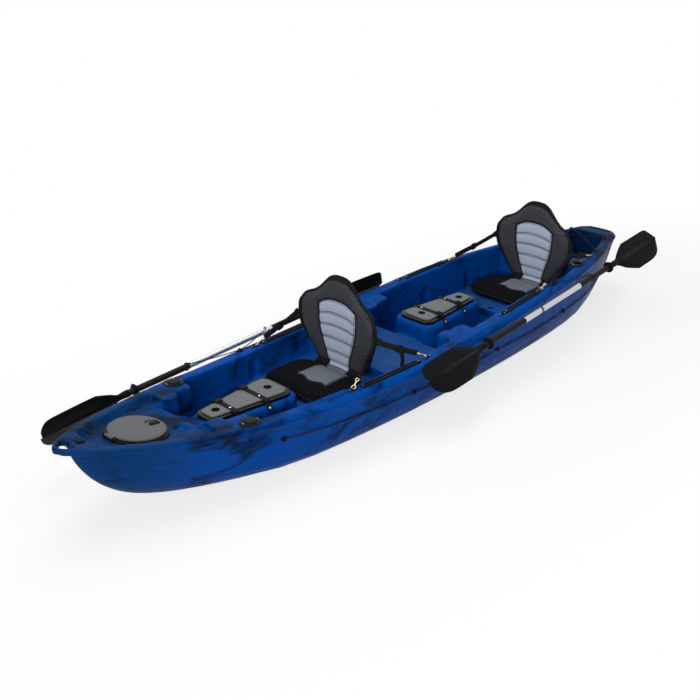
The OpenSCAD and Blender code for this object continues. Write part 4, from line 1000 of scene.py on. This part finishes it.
def sewPad(form):
    tree = treeOf(form)
    proud = sewForm["padProud"]

    def spots(shrink):
        side = [(s, padEdge(s) - shrink) for s in np.linspace(-0.93, 0.29, 50)]
        last = side[-1][1]
        over = [(padFront(t) - shrink, t) for t in np.linspace(last, -last, 70)]
        line = side + over + [(s, -t) for s, t in reversed(side)]
        return lifted([onTop(tree, *padSpot(s, t)) for s, t in line], proud)

    hem = []
    for k in range(150):
        a = 2 * math.pi * k / 150
        c, d = math.cos(a), math.sin(a)
        m = max(abs(c), abs(d))
        guess = Vector((*padSpot(c / m, d / m), seatForm["padThick"] * 0.43))
        hem.append(tree.find_nearest(guess)[:2])
    rows = [spots(shrink) for shrink in sewForm["padRows"]]
    return trim(spots(0.0), lifted(hem, proud), sewForm["padHem"], rows)


def makeFold(back, pad):
    # a padded fold joins the cushion's rear edge to the foot of the back
    backTree, padTree = treeOf(back), treeOf(pad)
    apart = Vector((seatForm["padX"] - seatForm["foldX"], 0, seatForm["padZ"] - seatForm["foldZ"]))
    rows, cols = 13, 61
    upper = np.zeros((rows, cols, 3))
    across = np.linspace(-foldForm["half"], foldForm["half"], cols)
    for j, y in enumerate(across):
        high = onFront(backTree, float(y), foldForm["onBack"])[0] + Vector((foldForm["proud"], 0, 0))
        low = onTop(padTree, foldForm["onPad"], float(y))[0] + apart + Vector((0, 0, foldForm["proud"]))
        turn = Vector((high.x + 0.004, y, low.z + 0.002))
        for i in range(rows):
            q = i / (rows - 1)
            upper[i, j] = high * (1 - q) ** 2 + turn * (2 * q * (1 - q)) + low * q * q
    under = upper - np.array([foldForm["thick"], 0, foldForm["thick"]])
    obj = closedPad("seatFoldForm", upper, under)
    share = np.tile(np.repeat(np.linspace(0, 1, rows), cols), 2)
    y = np.tile(np.tile(across, rows), 2)
    inside = foldForm["panel"] - np.abs(y)
    # crease: painted shade where the fold turns and along its panel seam
    crease = np.maximum(gauss(share - 0.55, 0.13), gauss(inside, 0.005))
    addShares(obj.data, panel=softStep(inside), dip=crease, hem=1.0, flat=np.clip((share - 0.5) / 0.1, 0, 1))
    return obj


def seatCopy(form, name, offset, body, finish, replaced=(), fill=None):
    mesh = form.data.copy()
    mesh.transform(Matrix.Translation(offset))
    obj = addObject(name, mesh)
    smoothShade(mesh)
    if fill is not None:
        modify(obj, "SUBSURF", levels=1, render_levels=1)
    dress(obj, body, finish, replaced)


def makeSeats():
    back = makeBack()
    print("seat back blown,", len(back.data.vertices), "points")
    pad = makePad()
    print("seat pad blown,", len(pad.data.vertices), "points")
    fold = makeFold(back, pad)
    backTrim = [fromBmesh("backTrim", bm) for bm in sewBack(back)]
    padTrim = [fromBmesh("padTrim", bm) for bm in sewPad(pad)]
    fill = seatForm["seatFill"]
    for seat in ("front", "rear"):
        shift, lift = seatShift(seat)
        body = seat + "_back"
        backAt = Vector((seatForm["foldX"] + shift, 0, seatForm["foldZ"] + lift))
        padAt = Vector((seatForm["padX"] + shift, 0, seatForm["padZ"] + lift))
        seatCopy(back, seat + "BackCushion", backAt, body, "seat", [seat + "_seat_back"], fill)
        seatCopy(pad, seat + "SeatCushion", padAt, "hull", "seat", [seat + "_seat_pad"], fill)
        low = padAt + Vector((foldForm["onPad"], 0, seatForm["padThick"]))
        high = backAt + Vector((0, 0, foldForm["onBack"]))
        bend = ("hull", body, low, high)
        seatCopy(fold, seat + "SeatFold", backAt, bend, "seat", fill=seatForm["foldFill"])
        for k, kind in enumerate(("Piping", "Thread")):
            seatCopy(backTrim[k], seat + "Back" + kind, backAt, body, kind.lower())
            seatCopy(padTrim[k], seat + "Seat" + kind, padAt, "hull", kind.lower())
    for form in [back, pad, fold] + backTrim + padTrim:
        bpy.data.objects.remove(form)


makeSeats()
print("seats sewn")

# lids, rings and hard fittings keep the solids' shape, with eased edges
plateInset = 0.006
for node, name, finish, slot, width in (
        ("front_lid_plate", "frontLidPlate", "lidPlate", "grey_lid", 0.0022),
        ("rear_lid_plate", "rearLidPlate", "lidPlate", "grey_lid", 0.0022),
        ("front_lid_tray", "frontLidTray", "tray", "black_plastic", 0.0025),
        ("rear_lid_tray", "rearLidTray", "tray", "black_plastic", 0.0025),
        ("front_strap_anchors", "frontAnchors", "black", "black_plastic", 0.0006),
        ("rear_strap_anchors", "rearAnchors", "black", "black_plastic", 0.0006),
        ("accessory_rails", "sideRails", "black", "black_plastic", 0.0008)):
    softEdges(node, name, finish, width, plateInset if "plate" in node else 0.0)


def turned(bm, place, up, profile, sides=20):
    # a round piece from radius and height pairs
    up = up.normalized()
    side = up.orthogonal().normalized()
    rings = [circle(bm, place + up * lift, side, up.cross(side), radius, sides) for radius, lift in profile]
    joinRings(bm, rings)


def dome(bm, place, up, radius, height):
    crown = [(radius * c, height * math.sqrt(1 - (0.8 * c) ** 2)) for c in (0.9, 0.7, 0.4)]
    turned(bm, place, up, [(radius, 0.0), (radius, height / 2)] + crown)


tabForm = {"width": 0.026, "thick": 0.0022, "inward": 0.0125, "rise": 0.0105, "over": 0.0105, "belly": 0.0012,
           "sink": 0.0006, "end": 0.0085, "head": 0.0052, "crown": 0.0022}


def makeAnchors(node, name):
    bm = nodeMesh(node)
    mergeFlats(bm)
    heads = bmesh.new()
    tabs = bmesh.new()
    for face in bm.faces:
        if len(face.verts) > 16 and abs(face.normal.y) > 0.3:
            p, n = face.calc_center_median(), face.normal.copy()
            dome(heads, p, n, tabForm["head"], tabForm["crown"])
            # the webbing's end comes over the shoulder and down under the screw
            down = (n * n.z - Vector((0, 0, 1))).normalized()
            inward = Vector((n.x, n.y, 0)).normalized() * tabForm["inward"]
            start = p - inward + Vector((0, 0, tabForm["rise"]))
            bend = p - down * tabForm["over"]
            under = p - n * tabForm["sink"]
            belly = start.lerp(bend, 0.55) + n * tabForm["belly"]
            run = [start, belly, bend, under, under + down * tabForm["end"]]
            band(tabs, run, Vector((1, 0, 0)), tabForm["width"], tabForm["thick"])
    bm.free()
    newPiece(name + "Screws", heads, 40, bodyOf[node], "steel")
    newPiece(name + "Tabs", tabs, 50, bodyOf[node], "webbing")


makeAnchors("front_strap_anchors", "frontAnchor")
makeAnchors("rear_strap_anchors", "rearAnchor")

ropeForm = {"step": 0.0035, "pitch": 0.017, "strand": 0.0018, "spread": 0.0016, "sides": 6}


def ringCentres(node):
    # middles of a swept cord's rings, from one end to the other
    co = points(nodes[node].data)
    co = co[np.argsort(co[:, 0])]
    cuts = np.where(np.diff(co[:, 0]) > 0.004)[0] + 1
    return np.array([part.mean(axis=0) for part in np.split(co, cuts)])


def makeRope(node, name):
    rough = ringCentres(node)
    run = np.concatenate([[0], np.cumsum(np.linalg.norm(np.diff(rough, axis=0), axis=1))])
    spots = np.arange(0, run[-1], ropeForm["step"])
    path = np.stack([np.interp(spots, run, rough[:, k]) for k in range(3)], axis=-1)
    for step in range(8):
        path[1:-1] = (path[:-2] + 2 * path[1:-1] + path[2:]) / 4
    for k, (finish, extra) in enumerate((("line", ""), ("fleck", "Fleck"))):
        bm = bmesh.new()
        strand = []
        for i, p in enumerate(path):
            along = heading(path, i)
            side = along.cross(Vector((0, 0, 1))).normalized()
            over = side.cross(along)
            angle = 2 * math.pi * spots[i] / ropeForm["pitch"] + math.pi * k
            strand.append(Vector(p) + ropeForm["spread"] * (side * math.cos(angle) + over * math.sin(angle)))
        ringTube(bm, strand, ropeForm["strand"], ropeForm["sides"])
        newPiece(name + extra, bm, None, "hull", finish, [] if k else [node])


makeRope("deck_line_port", "portLine")
makeRope("deck_line_starboard", "starboardLine")
roundCopy("stern_bungee", "sternBungee", "hull")
plain = {"black": ("bow_hatch_ring", "bow_hatch_latch", "deck_padeyes", "side_padeyes", "drain_plug"),
         "roundLid": ("bow_hatch_lid",), "brass": ("front_snap_hooks", "rear_snap_hooks"),
         "steel": ("bow_hatch_pin", "fitting_screws"),
         "rod": ("front_rod_holder_port", "front_rod_holder_starboard", "rear_rod_holder_port",
                 "rear_rod_holder_starboard", "rod_cap_port", "rod_cap_starboard")}
for finish, kept in plain.items():
    for node in kept:
        paint(nodes[node], finish)
print("fittings dressed")


# paddles: silver middles, black grips and moulded blades
paddleForm = {"port": (-0.743, 0.394, 0.319, 3.26, 2.97),          # middle, then pitch and yaw in degrees
              "starboard": (0.667, -0.4125, 0.2854, 1.75, 1.91), "silver": 0.255, "clear": 0.040,
              "root": {"port": "port_fore_half", "starboard": "starboard_aft_half"},
              "eye": {"port": -0.880, "starboard": 0.690}, "eyeInset": 0.02}


def paddleTurn(side):
    pitch, yaw = [math.radians(a) for a in paddleForm[side][3:]]
    return Matrix.Rotation(yaw, 4, "Z") @ Matrix.Rotation(pitch, 4, "Y")


def shaftFinish(side):
    along = paddleTurn(side).to_3x3() @ Vector((1, 0, 0))
    offset = along.dot(Vector(paddleForm[side][:3]))
    f = Finish(side + "Shaft")
    where = f.place()
    run = f.add("ShaderNodeVectorMath", {"operation": "DOT_PRODUCT"}, {0: where, 1: along}, "Value") - offset
    grip = f.ease(abs(run), paddleForm["silver"] - 0.001, paddleForm["silver"] + 0.001)
    brush = f.grain(f.stretch(where, (4.0, 60.0, 60.0)), 12.0, 3.0, 0.6)
    cloud = f.grain(where, 30.0, 3.0)
    metal = f.tint(brush * 0.6 + cloud * 0.4, (0.46, 0.47, 0.49), (0.66, 0.67, 0.69))
    sleeve = f.tint(cloud, (0.0045, 0.0046, 0.005), (0.014, 0.014, 0.015))
    shade = f.tint(grip, metal, sleeve)
    rough = 0.28 + grip * 0.16 + brush * 0.1
    return f.close(shade, rough, 0.08, (brush, 0.1, 0.0003), 1 - grip)


bladeForm = {"length": 0.446, "width": 0.168, "longShare": 0.43, "throat": 0.0165, "start": 0.5891,
             "rows": 110, "cols": 40, "rib": 0.0100, "lean": {"port": 45.0, "starboard": 162.0}}


def bladeEdge(q, c):
    # the long edge runs straight to the tip, and the fuller edge rounds off before it
    longEdge = (bladeForm["longShare"], 0.08, 0.32, 0.75, 14)
    fullEdge = (1 - bladeForm["longShare"], 0.05, 0.38, 0.70, 4)
    share, begin, span, power, tip = longEdge if c > 0 else fullEdge
    taper = math.sqrt(max(0.02, 1 - clamp01((q - 0.55) / 0.45) ** tip))
    return bladeForm["width"] * share * clamp01((q - begin) / span) ** power * taper


def bladePoint(q, c, face):
    throat = bladeForm["throat"]
    flat = easeIn((q - 0.02) / 0.20)
    run = clamp01(1 - q / 0.92)
    notch = 0.0005 * math.sin(2 * math.pi * q * bladeForm["length"] / 0.014) * (0.2 < q < 0.80)
    rib = (bladeForm["rib"] * run ** 0.6 + notch) * math.exp(-(c / 0.085) ** 2)
    cup = -0.016 * q * q - 0.008 * flat * (1 - c * c) - 0.006 * flat * (1 - abs(c))
    y0 = face * throat * math.sqrt(max(0.0, 1 - c * c))
    y1 = face * (0.0021 - 0.0009 * abs(c) ** 3 + rib) + cup
    z1 = max(throat, bladeEdge(q, c)) * c
    along = bladeForm["start"] + bladeForm["length"] * q
    return Vector((along, y0 + (y1 - y0) * flat, throat * c + (z1 - throat * c) * flat))


def makeBlade(side, half):
    lean = Matrix.Rotation(math.radians(bladeForm["lean"][side]), 4, "X")
    stand = Matrix.Translation(paddleForm[side][:3]) @ paddleTurn(side) @ lean
    stand = stand @ Matrix.Diagonal((1, -1, 1, 1) if side == "port" else (1, 1, -1, 1))
    if half == "aft":
        stand = stand @ Matrix.Diagonal((-1, 1, 1, 1))
    cols = [math.cos(math.pi * k / bladeForm["cols"]) for k in range(bladeForm["cols"] + 1)]
    ring = [(c, -1) for c in cols] + [(c, 1) for c in cols[-2:0:-1]]
    bm = bmesh.new()
    rows = []
    ridge = []
    for i in range(bladeForm["rows"] + 1):
        q = 1 - (1 - i / bladeForm["rows"]) ** 1.7          # closer rows towards the tip
        rows.append([bm.verts.new(stand @ bladePoint(q, c, face)) for c, face in ring])
        # share along the ridge that carries the blade's painted highlight
        run = easeIn((q - 0.10) / 0.12) * (1 - easeIn((q - 0.70) / 0.18))
        ridge += [run * math.exp(-((c + 0.035) / 0.030) ** 2) for c, face in ring]
    joinRings(bm, rows)
    bmesh.ops.recalc_face_normals(bm, faces=bm.faces)
    node = f"{side}_blade_{half}"
    obj = newPiece(f"{side}Blade{half.title()}", bm, 50, bodyOf[node], "blade", [node])
    addShares(obj.data, ridge=ridge)


def makePaddles():
    for side in ("port", "starboard"):
        shaft = shaftFinish(side)
        for half in ("fore", "aft"):
            paint(nodes[f"{side}_shaft_{half}"], shaft)
            paint(nodes[f"{side}_ring_{half}"], "black")
            makeBlade(side, half)
        paint(nodes[f"{side}_button"], "steel")
        # the eye, and a point near the paddle's shaft, are handed on as the bungee's body, which is not used;
        # the copy stays where it is
        x, y, z, pitch, yaw = paddleForm[side]
        eyeX = paddleForm["eye"][side]
        way = 1.0 if side == "port" else -1.0
        eye = Vector((eyeX, way * (beamAt(eyeX) - paddleForm["eyeInset"]), sheerAt(eyeX)))
        axis = Vector((eyeX, y + (eyeX - x) * math.tan(math.radians(yaw)),
                       z - (eyeX - x) * math.tan(math.radians(pitch))))
        near = axis + (eye - axis).normalized() * paddleForm["clear"]
        roundCopy(f"paddle_bungee_{side}", side + "Bungee", ("hull", paddleForm["root"][side], eye, near))


makePaddles()
print("paddles dressed")

# webbing of the seats and lids
strapForm = {"width": 0.025, "thick": 0.0021, "hook": 0.058, "roots": (0.57, 0.55), "push": (0.006, -0.008),
             "sag": 0.016, "doubled": 0.45, "eyeTop": 0.0071, "tail": 0.088, "patch": (0.033, 0.0042),
             "eyes": {"front": ((0.609, 0.052), (0.150, 0.052)), "rear": ((-0.761, 0.052), (-1.352, 0.042))},
             # ladder buckle: three bars between two cheeks, and a lip
             "ladder": (((-0.013, 0, 0.0012), (0.0045, 0.034, 0.0045), 0.0014),
                        ((-0.002, 0, 0.0012), (0.0045, 0.034, 0.0045), 0.0014),
                        ((0.012, 0, 0.0012), (0.0045, 0.034, 0.0045), 0.0014),
                        ((0, -0.016, 0.0006), (0.030, 0.0042, 0.0056), 0.0016),
                        ((0, 0.016, 0.0006), (0.030, 0.0042, 0.0056), 0.0016),
                        ((0.019, 0, 0.003), (0.011, 0.0175, 0.003), 0.001))}


def strapEnds(seat, side, k):
    shift, lift = seatShift(seat)
    v = strapForm["roots"][k]
    root = Vector((seatForm["foldX"] + shift + backWrap(1.0, v) + strapForm["push"][k],
                   side * (backHalf(v) + 0.0016), seatForm["foldZ"] + lift + backTop(1.0, v)))
    x, inset = strapForm["eyes"][seat][k]
    foot = Vector((x, side * (beamAt(x) - inset), sheerAt(x) + strapForm["eyeTop"]))
    return root, foot


def strapPair(seat, k):
    web = bmesh.new()
    buckles = bmesh.new()
    for side in (-1, 1):
        root, foot = strapEnds(seat, side, k)
        way = (root - foot).normalized()
        start = foot + way * (strapForm["hook"] + 0.001)
        level = Vector((0, 0, 1)).cross(way).normalized()
        face = way.cross(level)

        def spot(q):
            return start.lerp(root, q) - Vector((0, 0, strapForm["sag"] * q * (1 - q)))

        def strap(path, across):
            band(web, path, across, strapForm["width"], strapForm["thick"])

        strap([spot(i / 24) for i in range(25)], face)
        # the strap doubles back from the hook to the buckle
        doubled = []
        for i in range(13):
            gap = 0.0024 + 0.0026 * math.sin(math.pi * i / 12)
            doubled.append(spot(strapForm["doubled"] * i / 12) - level * gap * side)
        strap(doubled, face)
        middle = spot(strapForm["doubled"])
        blocks(buckles, framed(middle - level * 0.0012 * side, way, face), strapForm["ladder"])
        if seat == "front" and k == 1:
            tail = []
            for i in range(15):
                q = i / 14
                sway = side * (0.004 + 0.006 * math.sin(3 * q))
                curl = -0.004 * q - 0.010 * math.sin(2.4 * q)
                tail.append(middle + Vector((curl, sway, -strapForm["tail"] * q)))
            strap(tail, Vector((1, 0, 0)))
        # a sewn patch holds the strap on the cushion's edge
        band(web, [root - way * 0.012, root + way * 0.006], face, *strapForm["patch"])
    hookEnd = Vector((start.x, 0, start.z))
    sewnEnd = Vector((root.x, 0, root.z))
    return web, buckles, hookEnd, sewnEnd


def makeSeatStraps():
    for seat in ("front", "rear"):
        for k, end in enumerate(("Fore", "Aft")):
            web, buckles, hookEnd, sewnEnd = strapPair(seat, k)
            bend = ("hull", seat + "_back", hookEnd, sewnEnd)
            stands = [] if k else [seat + "_seat_straps"]
            newPiece(seat + end + "Straps", web, 50, bend, "webbing", stands)
            newPiece(seat + end + "Buckles", buckles, 40, bend, "black")


makeSeatStraps()

lidForm = {"length": 0.425, "width": 0.198, "tip": 0.118, "wideR": 0.046, "tipR": 0.034, "top": 0.0224,
           "strap": 0.026, "thick": 0.0022, "front": (0.092, -0.062), "rear": (0.072, -0.098),
           "holes": 0.1435, "corner": 0.006,
           # radius and height pairs of the near-black cup in each finger hole, painted shade for the hole,
           # with a lip on the plate
           "holeShadeCup": ((0.0180, 0.0), (0.0177, 0.0009), (0.0155, 0.0012), (0.0119, 0.0004),
                       (0.0112, -0.0068), (0.0040, -0.0070)),
           # side release buckle: a body with a raised middle, two prongs and a ladder end
           "buckle": (((0, 0.003, 0), (0.033, 0.024, 0.0068), 0.0022),
                      ((0, 0.003, 0.0028), (0.017, 0.015, 0.0050), 0.0016),
                      ((-0.0135, -0.012, -0.0006), (0.0055, 0.012, 0.0050), 0.0016),
                      ((0.0135, -0.012, -0.0006), (0.0055, 0.012, 0.0050), 0.0016),
                      ((0, -0.0165, -0.0006), (0.033, 0.0045, 0.0050), 0.0014),
                      ((0, -0.0105, -0.0010), (0.012, 0.010, 0.0036), 0.0010))}


def lidHalf(x):
    # half width of the tapered lid at a place along it
    half, wideR, tipR = lidForm["length"] / 2, lidForm["wideR"], lidForm["tipR"]
    wide, tip = lidForm["width"] / 2 - wideR, lidForm["tip"] / 2 - tipR
    taper = math.atan((wide - tip) / (lidForm["length"] - wideR - tipR))
    ax, ay = wideR - half + math.sin(taper) * wideR, wide + math.cos(taper) * wideR
    bx, by = half - tipR + math.sin(taper) * tipR, tip + math.cos(taper) * tipR
    return ay + (by - ay) * (x - ax) / (bx - ax)


def makeLidStraps():
    top = lidForm["top"] + 0.0013
    corner = lidForm["corner"]
    for lid, (x0, z0, turn) in consoles.items():
        web, hard, rivets, cups = [bmesh.new() for k in range(4)]
        spin = Matrix.Translation((x0, 0, z0)) @ Matrix.Rotation(turn, 4, "Z")
        for x in lidForm[lid]:
            h = lidHalf(x - lidForm["strap"] / 2) + 0.001
            out = h + 0.0011
            line = []
            for s in (-1, 1):
                arc = [Vector((x, s * out, 0.0045)), Vector((x, s * out, top - corner))]
                for a in range(1, 7):
                    angle = math.pi / 2 * a / 6
                    arc.append(Vector((x, s * (out - corner * (1 - math.cos(angle))),
                                       top - corner + corner * math.sin(angle))))
                line += arc if s < 0 else arc[::-1]
            across = spin.to_3x3() @ Vector((1, 0, 0))
            band(web, [spin @ p for p in line], across, lidForm["strap"], lidForm["thick"])
            base = spin @ Matrix.Translation((x, -(h - 0.026), top + 0.0045))
            blocks(hard, base, lidForm["buckle"])
            rivet = spin @ Vector((x, 0.44 * h, top + lidForm["thick"] / 2))
            dome(rivets, rivet, Vector((0, 0, 1)), tabForm["head"], tabForm["crown"])
        # near-black cups sunk in the finger holes stand in for the shade inside them (painted shade)
        for x in (-lidForm["holes"], lidForm["holes"]):
            turned(cups, spin @ Vector((x, 0, lidForm["top"])), Vector((0, 0, 1)), lidForm["holeShadeCup"], 28)
        node = lid + "_lid_straps"
        newPiece(lid + "LidHoleShadeCups", cups, 40, bodyOf[node], "holeShadeCup")
        newPiece(lid + "LidRivets", rivets, 40, bodyOf[node], "steel")
        newPiece(lid + "LidStraps", web, 50, bodyOf[node], "webbing", [node])
        newPiece(lid + "LidBuckles", hard, 40, bodyOf[node], "black")


makeLidStraps()
print("webbing made")

# floor, light and size
stageSet = {"floor": 40.0, "world": 0.27, "near": 0.76, "aim": (0.0, 0.0, 0.2),
            "lamps": (("overhead", (0.4, -0.6, 4.2), (5.0, 2.6), 132.0),
                      ("bowSide", (7.6, 4.2, 3.9), (3.4, 3.0), 370.0))}


def makeStage():
    mesh = bpy.data.meshes.new("floor")
    half = stageSet["floor"]
    corners = [(-half, -half, 0), (half, -half, 0), (half, half, 0), (-half, half, 0)]
    mesh.from_pydata(corners, [], [(0, 1, 2, 3)])
    floor = addObject("floor", mesh)
    f = Finish("paleFloor")
    away = f.add("ShaderNodeVectorMath", {"operation": "LENGTH"},
                 {0: f.stretch(f.place(), (0.5, 1.2, 0.0))}, "Value")
    share = f.seen() * (stageSet["near"] + (1 - stageSet["near"]) * f.ease(away, 0.9, 1.9))
    matt = f.add("ShaderNodeBsdfDiffuse", {}, {"Color": (0.93, 0.93, 0.93, 1.0)})
    glow = f.add("ShaderNodeEmission", {}, {"Color": (1.0, 1.0, 1.0, 1.0), "Strength": 1.0})
    mixed = f.add("ShaderNodeMixShader", {}, {0: share, 1: matt, 2: glow})
    f.add("ShaderNodeOutputMaterial", {}, {"Surface": mixed})
    mesh.materials.append(f.holder)
    scene.world = bpy.data.worlds.new("studio")
    w = Finish("studio", scene.world)
    soft = w.add("ShaderNodeBackground", {}, {"Color": (0.97, 0.98, 1.0, 1.0), "Strength": stageSet["world"]})
    white = w.add("ShaderNodeBackground", {}, {"Color": (1.0, 1.0, 1.0, 1.0), "Strength": 1.0})
    both = w.add("ShaderNodeMixShader", {}, {0: w.seen(), 1: soft, 2: white})
    w.add("ShaderNodeOutputWorld", {}, {"Surface": both})
    for name, place, size, power in stageSet["lamps"]:
        data = bpy.data.lights.new(name, "AREA")
        data.shape = "RECTANGLE"
        data.size, data.size_y = size
        data.energy = power
        aimed(name, data, place, Vector(stageSet["aim"]) - Vector(place))


makeStage()
